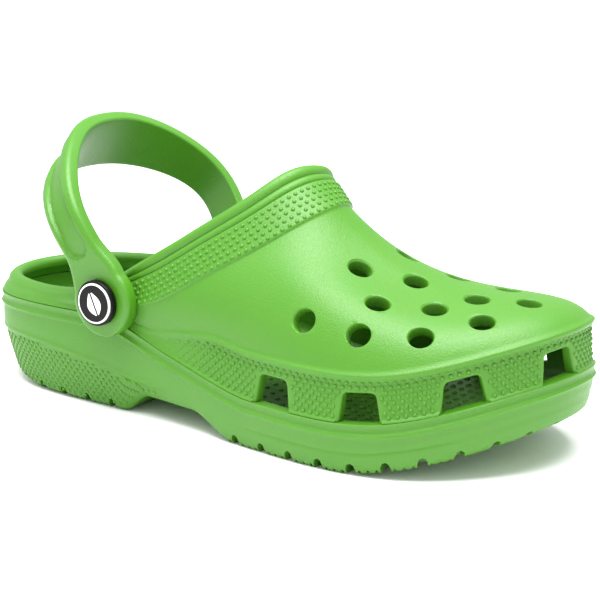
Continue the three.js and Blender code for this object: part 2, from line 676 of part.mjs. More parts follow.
export default group;
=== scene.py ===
# Moulded foam garden clog for the right foot, with a heel strap on two snap rivets.
# +X to the toe, +Y to the inner side of the foot, +Z up. Shapes are worked out in millimetres and put
# into their meshes in metres.
import json
import math

import bmesh
import bpy
import numpy as np
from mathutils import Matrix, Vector


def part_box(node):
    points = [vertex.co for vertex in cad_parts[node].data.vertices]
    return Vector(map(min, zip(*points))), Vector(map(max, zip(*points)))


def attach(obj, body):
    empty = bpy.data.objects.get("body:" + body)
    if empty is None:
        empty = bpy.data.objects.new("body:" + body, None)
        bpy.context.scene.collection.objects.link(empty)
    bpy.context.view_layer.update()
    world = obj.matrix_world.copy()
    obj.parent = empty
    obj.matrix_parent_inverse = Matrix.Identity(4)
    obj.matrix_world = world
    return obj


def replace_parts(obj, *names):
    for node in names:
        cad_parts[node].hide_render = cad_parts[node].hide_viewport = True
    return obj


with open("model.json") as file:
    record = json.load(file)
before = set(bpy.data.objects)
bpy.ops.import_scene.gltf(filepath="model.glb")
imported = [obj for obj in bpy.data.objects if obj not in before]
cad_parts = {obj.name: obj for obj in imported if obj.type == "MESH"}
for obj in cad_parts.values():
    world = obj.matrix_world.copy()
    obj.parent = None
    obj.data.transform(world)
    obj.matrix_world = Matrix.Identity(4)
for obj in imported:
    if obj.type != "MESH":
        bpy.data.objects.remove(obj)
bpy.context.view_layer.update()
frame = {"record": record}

# ------------------------------------------------------------------ studio and camera
# A plain white floor in a white room, one large soft light overhead and a weak one off the heel's
# outer side. The camera looks at the outer side of the shoe from the toe's end, a little above.

CAMERA_TURN = math.radians(35)
CAMERA_TILT = math.radians(14)
CAMERA_DISTANCE = 0.76882
CAMERA_AIM = Vector((-0.00007, -0.00057, 0.045))
CAMERA_SENSOR = 36
CAMERA_LENS = 106
CAMERA_SHIFT = (0.0463, 0.0151)
FLOOR_REACH = 6
FLOOR_WHITE = (0.97, 0.97, 0.97, 1)
ROOM_LIGHT = 1.03
OVERHEAD_WATTS = 24
HEEL_SIDE_WATTS = 1.5


def place_camera():
    back = Vector((math.sin(CAMERA_TURN) * math.cos(CAMERA_TILT),
                   -math.cos(CAMERA_TURN) * math.cos(CAMERA_TILT), math.sin(CAMERA_TILT)))
    camera = bpy.data.objects.new("camera", bpy.data.cameras.new("camera"))
    bpy.context.collection.objects.link(camera)
    camera.location = CAMERA_AIM + back * CAMERA_DISTANCE
    camera.rotation_euler = back.to_track_quat("Z", "Y").to_euler()
    camera.data.sensor_width = CAMERA_SENSOR
    camera.data.lens = CAMERA_LENS
    camera.data.shift_x, camera.data.shift_y = CAMERA_SHIFT
    camera.data.clip_start = 0.01
    bpy.context.scene.camera = camera


def soft_light(name, place, aim, size, watts):
    lamp = bpy.data.objects.new(name, bpy.data.lights.new(name, "AREA"))
    bpy.context.collection.objects.link(lamp)
    lamp.data.shape = "RECTANGLE"
    lamp.data.size, lamp.data.size_y = size
    lamp.data.energy = watts
    lamp.location = place
    lamp.rotation_euler = (Vector(place) - Vector(aim)).to_track_quat("Z", "Y").to_euler()


def lay_floor():
    floor = bpy.data.objects.new("floor", bpy.data.meshes.new("floor"))
    bpy.context.collection.objects.link(floor)
    reach = FLOOR_REACH
    corners = [(-reach, -reach, 0), (reach, -reach, 0), (reach, reach, 0), (-reach, reach, 0)]
    floor.data.from_pydata(corners, [], [(0, 1, 2, 3)])
    paint = bpy.data.materials.new("floor_white")
    paint.use_nodes = True
    shader = paint.node_tree.nodes["Principled BSDF"]
    shader.inputs["Base Color"].default_value = FLOOR_WHITE
    shader.inputs["Roughness"].default_value = 0.7
    shader.inputs["Specular IOR Level"].default_value = 0.2
    floor.data.materials.append(paint)


place_camera()
lay_floor()
soft_light("overhead", (0.1, -0.1, 1.0), (0, 0, 0.04), (0.9, 0.7), OVERHEAD_WATTS)
soft_light("heel_side", (-0.9, -0.35, 0.6), (-0.05, 0, 0.05), (0.6, 0.6), HEEL_SIDE_WATTS)
world = bpy.data.worlds.new("white_room")
bpy.context.scene.world = world
world.use_nodes = True
world.node_tree.nodes["Background"].inputs["Color"].default_value = (1, 1, 1, 1)
world.node_tree.nodes["Background"].inputs["Strength"].default_value = ROOM_LIGHT
bpy.context.scene.view_settings.view_transform = "Standard"

# ------------------------------------------------------------------ sole
# Lower half of the moulding: closed-cell foam, injected in one shot. Its wall carries a hollow rail
# under the parting line, a recessed pebbled zone round the heel and notches round the tread's edge.

SOLE_LOW, SOLE_HIGH = (np.array(corner) * 1000 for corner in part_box("sole"))
LENGTH = SOLE_HIGH[0] - SOLE_LOW[0]
WIDTH = SOLE_HIGH[1] - SOLE_LOW[1]
FIT_GAP = 0.3
HEEL_WALL = 6.5
VAMP_WALL = 5
FOOTBED_RADIUS = 5
SEAM_INSET = 1
STATIONS = 190  # across the foot from heel to toe
FOOTBED_HOLLOW = 0.9

# Control points of the closed outline, heel first, down the outer side to the toe and back.
OUTLINE = [
    (-0.5035, -0.13), (-0.452, -0.302), (-0.333, -0.37), (-0.191, -0.373), (-0.052, -0.402),
    (0.087, -0.462), (0.208, -0.508), (0.34, -0.476), (0.4445, -0.292), (0.5105, -0.052),
    (0.504, 0.247), (0.4167, 0.446), (0.295, 0.515), (0.1736, 0.498), (0.0347, 0.412),
    (-0.1042, 0.37), (-0.243, 0.365), (-0.37, 0.352), (-0.464, 0.275), (-0.508, 0.086),
]


def level_curve(points):
    """Curve through (share of length, value) pairs with no kinks, level at each high and low point."""
    knots, values = np.array(points, float).T
    step = np.diff(knots)
    slope = np.diff(values) / step
    tangent = np.empty(len(knots))
    tangent[0], tangent[-1] = slope[0], slope[-1]
    blended = (slope[:-1] * step[1:] + slope[1:] * step[:-1]) / (step[:-1] + step[1:])
    tangent[1:-1] = np.where(slope[:-1] * slope[1:] <= 0, 0, blended)

    def value(x):
        q = np.clip(np.asarray(x, float) / LENGTH, knots[0], knots[-1])
        i = np.clip(np.searchsorted(knots, q, side="right") - 1, 0, len(step) - 1)
        t = (q - knots[i]) / step[i]
        start = (1 + 2 * t) * (1 - t) ** 2 * values[i] + t * (1 - t) ** 2 * step[i] * tangent[i]
        return start + t * t * (3 - 2 * t) * values[i + 1] + t * t * (t - 1) * step[i] * tangent[i + 1]
    return value


seam_height = level_curve([(-0.51, 41), (-0.35, 42), (-0.21, 42.5), (-0.07, 31), (0.1, 21.3),
                           (0.31, 23.2), (0.51, 40)])
ground_height = level_curve([(-0.51, 14), (-0.44, 3.5), (-0.37, 0), (-0.18, 0), (-0.13, 9),
                             (-0.04, 9), (0.05, 0), (0.23, 0), (0.36, 6), (0.51, 19)])
footbed_height = level_curve([(-0.51, 31), (-0.33, 28), (-0.16, 27), (0, 21), (0.17, 16),
                              (0.32, 18), (0.51, 27.5)])
tread_inset = level_curve([(-0.51, 13), (-0.38, 8), (-0.15, 5), (0.3, 4), (0.51, 8)])
wall_thickness = level_curve([(-0.5, HEEL_WALL), (-0.3, HEEL_WALL), (-0.08, VAMP_WALL), (0.5, VAMP_WALL)])


def ring(control, u):
    """Points of a closed uniform cubic B-spline at u, 0 to 1 round the shoe."""
    control = np.asarray(control, float)
    n = len(control)
    s = np.mod(u, 1) * n
    i = np.floor(s).astype(int)
    f = (s - i)[..., None]
    weights = ((1 - f) ** 3, 3 * f ** 3 - 6 * f ** 2 + 4, -3 * f ** 3 + 3 * f ** 2 + 3 * f + 1, f ** 3)
    return sum(w / 6 * control[(i - 1 + k) % n] for k, w in enumerate(weights))


fine_outline = ring(OUTLINE, np.linspace(0, 1, 4000, endpoint=False))
outline_middle = (fine_outline.max(axis=0) + fine_outline.min(axis=0)) / 2
outline_size = fine_outline.max(axis=0) - fine_outline.min(axis=0)


def place(plan):
    return (plan - outline_middle) / outline_size * (LENGTH, WIDTH)


def outline(u):
    return place(ring(OUTLINE, u))


def inward(u):
    """Level unit direction into the shoe, square to its outline."""
    run = outline(u + 1e-4) - outline(u - 1e-4)
    run /= np.linalg.norm(run, axis=-1, keepdims=True)
    return np.stack([-run[..., 1], run[..., 0]], axis=-1)


def inset_outline(u, inset):
    return outline(u) + inward(u) * np.asarray(inset)[..., None]


def at_height(plan, z):
    return np.concatenate([plan, np.broadcast_to(z, plan.shape[:-1])[..., None]], axis=-1)


def step_between(x, low, high):
    """Smooth step from 0 at low to 1 at high."""
    t = np.clip((np.asarray(x, float) - low) / (high - low), 0, 1)
    return t * t * (3 - 2 * t)


def paired_shares():
    """Shares of u that pair up across the foot at equal x, from the heel round to the toe and back."""
    u = np.linspace(-0.5, 1.5, 16001)
    x = outline(u)[:, 0]
    inside = (u >= -0.25) & (u < 0.75)
    heel = u[inside][np.argmin(x[inside])]
    toe = u[inside][np.argmax(x[inside])]
    stations = (1 - np.cos(np.pi * np.arange(STATIONS + 1) / STATIONS)) / 2
    wanted = x[inside].min() + np.ptp(x[inside]) * stations
    outer = (u >= heel) & (u <= toe)
    inner = (u >= toe) & (u <= heel + 1)
    there = np.interp(wanted, x[outer], u[outer])
    back = np.interp(wanted, x[inner][::-1], u[inner][::-1])
    there[0], there[-1] = heel, toe
    return np.concatenate([there, back[1:-1][::-1]])


SHARES = paired_shares()
COLUMNS = len(SHARES)


def solid(name, points, faces, sharp=38):
    """Mesh object from points in millimetres, with its faces turned outwards."""
    points = np.asarray(points, float)
    mesh = bpy.data.meshes.new(name)
    mesh.from_pydata((points / 1000).tolist(), [], faces)
    mesh.validate()
    mesh.calc_loop_triangles()
    corners = np.empty(len(mesh.loop_triangles) * 3, int)
    mesh.loop_triangles.foreach_get("vertices", corners)
    a, b, c = points[corners.reshape(-1, 3)].transpose(1, 0, 2)
    volume = np.einsum("ij,ij->i", a, np.cross(b, c)).sum()
    if volume < 0:
        mesh.flip_normals()
    piece = bpy.data.objects.new(name, mesh)
    bpy.context.collection.objects.link(piece)
    shade(piece, sharp)
    return piece


def shade(piece, sharp):
    mesh = piece.data
    mesh.polygons.foreach_set("use_smooth", [True] * len(mesh.polygons))
    mesh.set_sharp_from_angle(angle=math.radians(sharp))


def weave(rows, columns, first=0):
    """Four-sided faces between closed rows of points."""
    faces = []
    for r in range(rows - 1):
        low, high = first + r * columns, first + (r + 1) * columns
        for k in range(columns):
            next_k = (k + 1) % columns
            faces.append((low + k, low + next_k, high + next_k, high + k))
    return faces


def capped(rows, columns, first=0):
    """The same, with a face over each end."""
    last = first + (rows - 1) * columns
    near = tuple(first + k for k in reversed(range(columns)))
    return weave(rows, columns, first) + [near, tuple(last + k for k in range(columns))]


def floor_across(points, edge, steps, lift):
    """Closes a ring of paired points with a floor, point k to its partner. lift(x, side) is its height
    over the straight line across, at side -1 to 1. Returns the faces and adds the points."""
    n = len(edge)
    half = n // 2
    faces = []
    rows = []
    for k in range(1, half):
        a, b = points[edge[k]], points[edge[n - k]]
        row = [edge[k]]
        for j in range(1, steps):
            t = j / steps
            point = a + (b - a) * t
            row.append(len(points))
            points.append(point + (0, 0, lift(point[0], 2 * t - 1)))
        row.append(edge[n - k])
        rows.append(row)
    for low, high in zip(rows, rows[1:]):
        faces += [(low[j], low[j + 1], high[j + 1], high[j]) for j in range(steps)]
    faces += [(edge[0], rows[0][j + 1], rows[0][j]) for j in range(steps)]
    faces += [(edge[half], rows[-1][j], rows[-1][j + 1]) for j in range(steps)]
    return faces


RAIL_DEPTH = 5  # from the parting line to the rail's lower edge
PEBBLE_RECESS = 0.9
pebble_top = level_curve([(-0.51, 24.6), (-0.34, 24.2), (-0.26, 21.7), (-0.2, 19.2), (-0.14, 15.9)])


def sole_inset(u, z):
    """How far the wall of the sole stands in from the outline at height z."""
    x = outline(u)[..., 0]
    ground, seam = ground_height(x), seam_height(x)
    share = np.clip((z - ground) / (seam - ground), 0, 1)
    over = z - ground
    taper = 0.62 * np.clip(1 - share / 0.75, 0, 1) ** 1.5 + 0.38 * np.clip(1 - over / 3.4, 0, 1) ** 2
    below = seam - z
    rail = np.interp(below, [0, 0.35, 0.9, 1.6, 2.6, 3.6, 4.4, RAIL_DEPTH, 5.5, 6.2, 9, 14, 20],
                     [1.0, 0.6, 0.7, 1.1, 1.25, 1.0, 0.4, 0.15, 0.8, 1.3, 1.1, 0.6, 0])
    rear = 1 - step_between(x, -36, -12)
    pebbled = PEBBLE_RECESS * rear * (1 - step_between(z - pebble_top(x), -1.1, 0.2))
    lip = -0.35 * rear * np.exp(-((z - pebble_top(x) - 0.9) / 0.8) ** 2)
    front = step_between(x, 5, 40)
    groove = 0.35 * front * np.exp(-((share - 0.42) * (seam - ground) / 0.7) ** 2)
    return tread_inset(x) * taper + rail + pebbled + lip + groove


def build_sole():
    u = SHARES
    x = outline(u)[:, 0]
    ground, seam = ground_height(x), seam_height(x) - FIT_GAP / 2
    over = [0, 0.12, 0.4, 0.9, 1.6, 2.5, 3.6]
    under = [14, 11, 9, 7.6, 6.8, 6.3, 5.9, 5.6, 5.3, 5, 4.7, 4.2, 3.6, 2.9, 2.2, 1.6, 1.1, 0.75,
             0.45, 0.2, 0]
    span = seam - ground
    bend = pebble_top(x)
    rows = [ground + h for h in over]
    low, high = ground + over[-1], seam - np.minimum(under[0], 0.5 * span)
    middle = np.clip(bend, low + 1.5, high - 1.5)
    for t in (0.2, 0.4, 0.6, 0.78, 0.9, 0.96):
        rows.append(low + (middle - low) * t)
    for t in (0, 0.04, 0.09, 0.15, 0.25, 0.45, 0.7):
        rows.append(middle + (high - middle) * t)
    for h in under:
        rows.append(seam - h * (seam - high) / under[0])
    wall = [at_height(inset_outline(u, sole_inset(u, z)), z) for z in rows]
    thickness = SEAM_INSET + wall_thickness(x)
    bed = footbed_height(x)
    rim = seam_height(x) - FIT_GAP / 2
    turn = np.linspace(0, np.pi / 2, 7)
    inner = [at_height(inset_outline(u, thickness), rim)]
    for a in turn:
        z = np.minimum(bed + FOOTBED_RADIUS * (1 - np.sin(a)), rim - 0.5 * np.cos(a) ** 2 - 0.1)
        inner.append(at_height(inset_outline(u, thickness + FOOTBED_RADIUS * (1 - np.cos(a))), z))
    rings = wall + inner
    points = [p for line in rings for p in line]
    faces = weave(len(rings), COLUMNS)
    tread = list(range(COLUMNS))
    bed_edge = list(range((len(rings) - 1) * COLUMNS, len(rings) * COLUMNS))
    faces += floor_across(points, tread, 16, lambda _, side: 0)
    bed_faces = floor_across(points, bed_edge, 20, lambda _, side: -FOOTBED_HOLLOW * (1 - side * side) ** 2)
    faces += [face[::-1] for face in bed_faces]
    return solid("foam_sole", points, faces)


# Tread: notches square to the edge all round the forefoot and the heel, and short slots inside them.
NOTCH_WIDTH = 4.2
NOTCH_DEPTH = 4.6
NOTCH_PITCH = 15
TOOTH_WIDTH = 1.3  # small nicks between the notches
TOOTH_DEPTH = 1.7
TEETH = 3
NOTCH_RUN = 9  # length of a notch in from the tread's edge
TOOTH_RUN = 1.5
SLOT_PITCH = 9
SLOT_DEPTH = 1.6
SLOT_HALF_WIDTH = 1.4
SLOT_MARGIN = 22  # clear of the tread's edge
SLOT_GAP = 2


def bar(points, faces, start, along, side, length, half_width, depth):
    """Adds a round-topped cutter that starts at start on the ground and runs along."""
    first = len(points)
    section = [(-1, -3), (-1, 0.45), (-0.7, 0.85), (0, 1), (0.7, 0.85), (1, 0.45), (1, -3)]
    for reach in (0, length):
        for across, up in section:
            offset = np.array([*(along * reach + side * across * half_width), up * depth])
            points.append(start + offset)
    faces += capped(2, len(section), first)


def distances_along(line):
    """Distance of each point of a line from its first."""
    return np.concatenate([[0], np.cumsum(np.linalg.norm(np.diff(line, axis=0), axis=1))])


def arc_table():
    u = np.linspace(SHARES[0], SHARES[0] + 1, 6001)
    return u, distances_along(outline(u))


ARC_SHARES, ARC_LENGTHS = arc_table()


def share_at_arc(distance):
    """Share of u at a distance round the outline from the back of the heel."""
    return np.interp(distance, ARC_LENGTHS, ARC_SHARES)


def on_tread(x):
    """True where the sole's underside stands near the floor, clear of the arch."""
    return (x > 8) | (x < -55)


def cut_tread(sole):
    points, faces = [], []
    total = ARC_LENGTHS[-1]
    count = round(total / NOTCH_PITCH) * (TEETH + 1)
    for k in range(count):
        u = share_at_arc((k + 1.4) * total / count)
        edge = outline(u)
        if not on_tread(edge[0]):
            continue
        main = k % (TEETH + 1) == 0
        width, depth = (NOTCH_WIDTH, NOTCH_DEPTH) if main else (TOOTH_WIDTH, TOOTH_DEPTH)
        into = inward(u)
        side = np.array([-into[1], into[0]])
        start = at_height(edge - into * 2, ground_height(edge[0]))
        length = 2 + tread_inset(edge[0]) + (NOTCH_RUN if main else TOOTH_RUN)
        inner = start[:2] + into * length
        tilt = ground_height(inner[0]) - start[2]
        first = len(points)
        bar(points, faces, start, into, side, length, width / 2, depth)
        for p in range(first + 7, len(points)):
            points[p] = points[p] + (0, 0, tilt)
    sole = carve(sole, solid("notch_cutter", points, faces))
    points, faces = [], []
    for x in np.arange(-118, 132, SLOT_PITCH):
        if not on_tread(x + 3) or not on_tread(x - 3):
            continue
        edges = outline(SHARES)
        near = np.abs(edges[:, 0] - x) < 2.5
        low_y, high_y = edges[near, 1].min() + SLOT_MARGIN, edges[near, 1].max() - SLOT_MARGIN
        span = high_y - low_y
        if span < 8:
            continue
        slots = 1 if span < 30 else 2 if span < 52 else 3
        for k in range(slots):
            a = low_y + span * k / slots + SLOT_GAP
            b = low_y + span * (k + 1) / slots - SLOT_GAP
            start = np.array([x, a, ground_height(x)])
            bar(points, faces, start, np.array([0, 1.0]), np.array([-1.0, 0]), b - a, SLOT_HALF_WIDTH,
                SLOT_DEPTH)
    return carve(sole, solid("slot_cutter", points, faces))


def carve(piece, cutter, sharp=38):
    """Cuts the cutter out of the piece and removes it."""
    cut = piece.modifiers.new("cut", "BOOLEAN")
    cut.operation = "DIFFERENCE"
    cut.solver = "MANIFOLD"
    cut.object = cutter
    result = bpy.data.meshes.new_from_object(piece.evaluated_get(bpy.context.evaluated_depsgraph_get()))
    piece.modifiers.clear()
    piece.data = result
    bpy.data.objects.remove(cutter)
    shade(piece, sharp)
    return piece


FOAM_GREEN = (0.055, 0.208, 0.005)
FOAM_SHADE = (0.05, 0.207, 0.004)


def foam_skin_group():
    """Skin of moulded foam: faint mottling, a fine grain and the shallow unevenness of a soft mould."""
    group = bpy.data.node_groups.new("foam_skin", "ShaderNodeTree")
    sockets = group.interface
    sockets.new_socket("Colour", in_out="INPUT", socket_type="NodeSocketColor")
    sockets.new_socket("Shade", in_out="INPUT", socket_type="NodeSocketColor")
    sockets.new_socket("Grain Depth", in_out="INPUT", socket_type="NodeSocketFloat")
    sockets.new_socket("Gloss", in_out="INPUT", socket_type="NodeSocketFloat")
    sockets.new_socket("Colour", in_out="OUTPUT", socket_type="NodeSocketColor")
    sockets.new_socket("Roughness", in_out="OUTPUT", socket_type="NodeSocketFloat")
    sockets.new_socket("Normal", in_out="OUTPUT", socket_type="NodeSocketVector")
    nodes, links = group.nodes, group.links
    given = nodes.new("NodeGroupInput")
    made = nodes.new("NodeGroupOutput")
    where = nodes.new("ShaderNodeTexCoord")

    def noise(scale, detail):
        node = nodes.new("ShaderNodeTexNoise")
        node.inputs["Scale"].default_value = scale
        node.inputs["Detail"].default_value = detail
        links.new(where.outputs["Object"], node.inputs["Vector"])
        return node.outputs["Fac"]

    def spread(value, low, high, to_low, to_high):
        node = nodes.new("ShaderNodeMapRange")
        for name, number in (("From Min", low), ("From Max", high), ("To Min", to_low), ("To Max", to_high)):
            node.inputs[name].default_value = number
        links.new(value, node.inputs["Value"])
        return node.outputs["Result"]

    mottle = spread(noise(60, 3), 0.3, 0.7, 0, 1)
    speckle = noise(1300, 2)
    mix = nodes.new("ShaderNodeMix")
    mix.data_type = "RGBA"
    links.new(mottle, mix.inputs["Factor"])
    links.new(given.outputs["Colour"], mix.inputs["A"])
    links.new(given.outputs["Shade"], mix.inputs["B"])
    links.new(mix.outputs["Result"], made.inputs["Colour"])
    rough = nodes.new("ShaderNodeMath")
    rough.operation = "ADD"
    links.new(given.outputs["Gloss"], rough.inputs[0])
    links.new(spread(speckle, 0.3, 0.7, -0.05, 0.07), rough.inputs[1])
    links.new(rough.outputs[0], made.inputs["Roughness"])
    grain = nodes.new("ShaderNodeBump")
    grain.inputs["Distance"].default_value = 0.00022
    links.new(given.outputs["Grain Depth"], grain.inputs["Strength"])
    links.new(speckle, grain.inputs["Height"])
    waves = nodes.new("ShaderNodeBump")
    waves.inputs["Distance"].default_value = 0.0004
    waves.inputs["Strength"].default_value = 0.25
    links.new(noise(140, 1), waves.inputs["Height"])
    links.new(waves.outputs["Normal"], grain.inputs["Normal"])
    links.new(grain.outputs["Normal"], made.inputs["Normal"])
    return group


foam_skin = foam_skin_group()


def skinned(name, colour, shade_colour, grain, gloss):
    """Material whose colour, roughness and surface come from the foam skin, and its shader."""
    material = bpy.data.materials.new(name)
    material.use_nodes = True
    nodes, links = material.node_tree.nodes, material.node_tree.links
    shader = nodes["Principled BSDF"]
    skin = nodes.new("ShaderNodeGroup")
    skin.node_tree = foam_skin
    skin.inputs["Colour"].default_value = (*colour, 1)
    skin.inputs["Shade"].default_value = (*shade_colour, 1)
    skin.inputs["Grain Depth"].default_value = grain
    skin.inputs["Gloss"].default_value = gloss
    links.new(skin.outputs["Colour"], shader.inputs["Base Color"])
    links.new(skin.outputs["Roughness"], shader.inputs["Roughness"])
    links.new(skin.outputs["Normal"], shader.inputs["Normal"])
    return material, shader


def foam(name, gloss=0.48):
    material, shader = skinned(name, FOAM_GREEN, FOAM_SHADE, 0.6, gloss)
    shader.inputs["Specular IOR Level"].default_value = 0.5
    shader.inputs["Subsurface Weight"].default_value = 0.12
    shader.inputs["Subsurface Radius"].default_value = (0.4, 1.0, 0.15)
    shader.inputs["Subsurface Scale"].default_value = 0.003
    return material


foam_sole = cut_tread(build_sole())
sole_foam = foam("foam_sole_green")
foam_sole.data.materials.clear()
foam_sole.data.materials.append(sole_foam)
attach(foam_sole, "clog")
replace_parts(foam_sole, "sole")

# ------------------------------------------------------------------ pebbles and footbed nubs
# Small round pips raised by the mould: rows of them round the heel, and larger ones that massage
# the foot all over the footbed. They are part of the foam.

PIP_SEGMENTS = 8
PEBBLE_PITCH = 3.5
PEBBLE_ROW = 1.9
PEBBLE_DIAMETER = 1.8
PEBBLE_HEIGHT = 0.4
NUB_PITCH = 6.2
NUB_ROW = NUB_PITCH * 0.87
NUB_DIAMETER = 3
NUB_HEIGHT = 1.1


def pip_tree():
    """One flattened ball on each place, standing along its 'out' attribute, made real and coloured."""
    tree = bpy.data.node_groups.new("raised_pips", "GeometryNodeTree")
    sockets = tree.interface
    sockets.new_socket("Places", in_out="INPUT", socket_type="NodeSocketGeometry")
    sockets.new_socket("Diameter", in_out="INPUT", socket_type="NodeSocketFloat")
    sockets.new_socket("Height", in_out="INPUT", socket_type="NodeSocketFloat")
    sockets.new_socket("Foam", in_out="INPUT", socket_type="NodeSocketMaterial")
    sockets.new_socket("Pips", in_out="OUTPUT", socket_type="NodeSocketGeometry")
    nodes, links = tree.nodes, tree.links
    given = nodes.new("NodeGroupInput")
    made = nodes.new("NodeGroupOutput")
    ball = nodes.new("GeometryNodeMeshUVSphere")
    ball.inputs["Segments"].default_value = PIP_SEGMENTS
    ball.inputs["Rings"].default_value = 4
    ball.inputs["Radius"].default_value = 0.5
    smooth = nodes.new("GeometryNodeSetShadeSmooth")
    links.new(ball.outputs["Mesh"], smooth.inputs["Geometry"])
    out = nodes.new("GeometryNodeInputNamedAttribute")
    out.data_type = "FLOAT_VECTOR"
    out.inputs["Name"].default_value = "out"
    turn = nodes.new("FunctionNodeAlignRotationToVector")
    turn.axis = "Z"
    links.new(out.outputs["Attribute"], turn.inputs["Vector"])
    double = nodes.new("ShaderNodeMath")
    double.operation = "MULTIPLY"
    double.inputs[1].default_value = 2
    links.new(given.outputs["Height"], double.inputs[0])
    size = nodes.new("ShaderNodeCombineXYZ")
    links.new(given.outputs["Diameter"], size.inputs["X"])
    links.new(given.outputs["Diameter"], size.inputs["Y"])
    links.new(double.outputs[0], size.inputs["Z"])
    stand = nodes.new("GeometryNodeInstanceOnPoints")
    links.new(given.outputs["Places"], stand.inputs["Points"])
    links.new(smooth.outputs["Geometry"], stand.inputs["Instance"])
    links.new(turn.outputs["Rotation"], stand.inputs["Rotation"])
    links.new(size.outputs["Vector"], stand.inputs["Scale"])
    real = nodes.new("GeometryNodeRealizeInstances")
    links.new(stand.outputs["Instances"], real.inputs["Geometry"])
    paint = nodes.new("GeometryNodeSetMaterial")
    links.new(real.outputs["Geometry"], paint.inputs["Geometry"])
    links.new(given.outputs["Foam"], paint.inputs["Material"])
    links.new(paint.outputs["Geometry"], made.inputs["Pips"])
    return tree


raised_pips = pip_tree()


def pips(name, places, outs, diameter, height, material, body="clog"):
    """A piece made of one pip on each place, in millimetres."""
    seeds = bpy.data.meshes.new(name + "_places")
    seeds.from_pydata((np.asarray(places) / 1000).tolist(), [], [])
    direction = seeds.attributes.new("out", "FLOAT_VECTOR", "POINT")
    direction.data.foreach_set("vector", np.asarray(outs, float).ravel())
    carrier = bpy.data.objects.new(name + "_places", seeds)
    bpy.context.collection.objects.link(carrier)
    grow = carrier.modifiers.new("pips", "NODES")
    grow.node_group = raised_pips
    values = {"Diameter": diameter / 1000, "Height": height / 1000, "Foam": material}
    for item in raised_pips.interface.items_tree:
        if item.in_out == "INPUT" and item.name in values:
            grow[item.identifier] = values[item.name]
    mesh = bpy.data.meshes.new_from_object(carrier.evaluated_get(bpy.context.evaluated_depsgraph_get()))
    mesh.name = name
    bpy.data.objects.remove(carrier)
    piece = bpy.data.objects.new(name, mesh)
    bpy.context.collection.objects.link(piece)
    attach(piece, body)
    return piece


def sole_wall(u, z):
    return at_height(inset_outline(u, sole_inset(u, z)), z)


def surface_normal(surface, a, b, small_a, small_b):
    """Outward direction of surface(a, b), whose a runs round the shoe and b runs up."""
    round_it = surface(a + small_a, b) - surface(a - small_a, b)
    up_it = surface(a, b + small_b) - surface(a, b - small_b)
    normal = np.cross(round_it, up_it)
    return normal / np.linalg.norm(normal, axis=-1, keepdims=True)


def heel_pebbles():
    places, outs = [], []
    total = ARC_LENGTHS[-1]
    for row in range(14):
        arcs = np.arange(-143, 143, PEBBLE_PITCH) + (row % 2) * PEBBLE_PITCH / 2
        u = share_at_arc(np.mod(arcs, total))
        x = outline(u)[:, 0]
        z = ground_height(x) + 3.4 + row * PEBBLE_ROW
        keep = (z < pebble_top(x) - 1.9) & (x < -31)
        u, z = u[keep], z[keep]
        if len(u):
            places.append(sole_wall(u, z))
            outs.append(surface_normal(sole_wall, u, z, 1e-4, 0.2))
    return np.concatenate(places), np.concatenate(outs)


def footbed_nubs():
    places = []
    edge = outline(SHARES)
    half = COLUMNS // 2
    for row, x in enumerate(np.arange(-124, 134, NUB_ROW)):
        k = int(np.argmin(np.abs(edge[1:half, 0] - x))) + 1
        room = wall_thickness(x) + SEAM_INSET + FOOTBED_RADIUS + 3
        low, high = edge[k, 1] + room, edge[COLUMNS - k, 1] - room
        for y in np.arange(low + (row % 2) * NUB_PITCH / 2, high, NUB_PITCH):
            side = 2 * (y - low + 3) / (high - low + 6) - 1
            places.append((x, y, footbed_height(x) - FOOTBED_HOLLOW * (1 - side * side) ** 2))
    return np.array(places), np.tile((0, 0, 1), (len(places), 1))


pips("heel_pebbles", *heel_pebbles(), PEBBLE_DIAMETER, PEBBLE_HEIGHT, sole_foam)
pips("footbed_nubs", *footbed_nubs(), NUB_DIAMETER, NUB_HEIGHT, sole_foam)

# ------------------------------------------------------------------ upper
# Upper half of the same moulding: heel rim, side band with a bead along its top, vamp and a cuff
# with a raised band, a thin bead and a thick rolled edge. Vents and toe holes are cored by the mould.

COLLAR_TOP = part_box("upper")[1][2] * 1000 - 0.7
CUFF_TOP = COLLAR_TOP - 14
RIM_HEIGHT = 6.5
CUFF_RIM = RIM_HEIGHT * 0.66
RIDGE_RIM = RIM_HEIGHT * 0.33
BAND_HEIGHT = 18.5
FULL_VAMP_RISE = 0.43  # rise of the cuff's edge from which the vamp is full

# Edge of the foot opening. The third value is its rise from the heel rim (0) to COLLAR_TOP (1).
COLLAR = [
    (-0.491, -0.118, 0.03), (-0.44, -0.267, 0.02), (-0.325, -0.34, 0.01), (-0.217, -0.352, 0.06),
    (-0.133, -0.335, 0.415), (-0.052, -0.276, 0.68), (0.012, -0.2, 0.86), (0.046, -0.109, 0.99),
    (0.059, -0.02, 1.015), (0.062, 0.06, 1), (0.06, 0.135, 0.975), (0.045, 0.21, 0.88),
    (0.005, 0.275, 0.71), (-0.05, 0.32, 0.54), (-0.117, 0.347, 0.355), (-0.184, 0.354, 0.16),
    (-0.255, 0.343, 0.05), (-0.36, 0.328, 0.045), (-0.45, 0.246, 0.04), (-0.494, 0.072, 0.035),
]
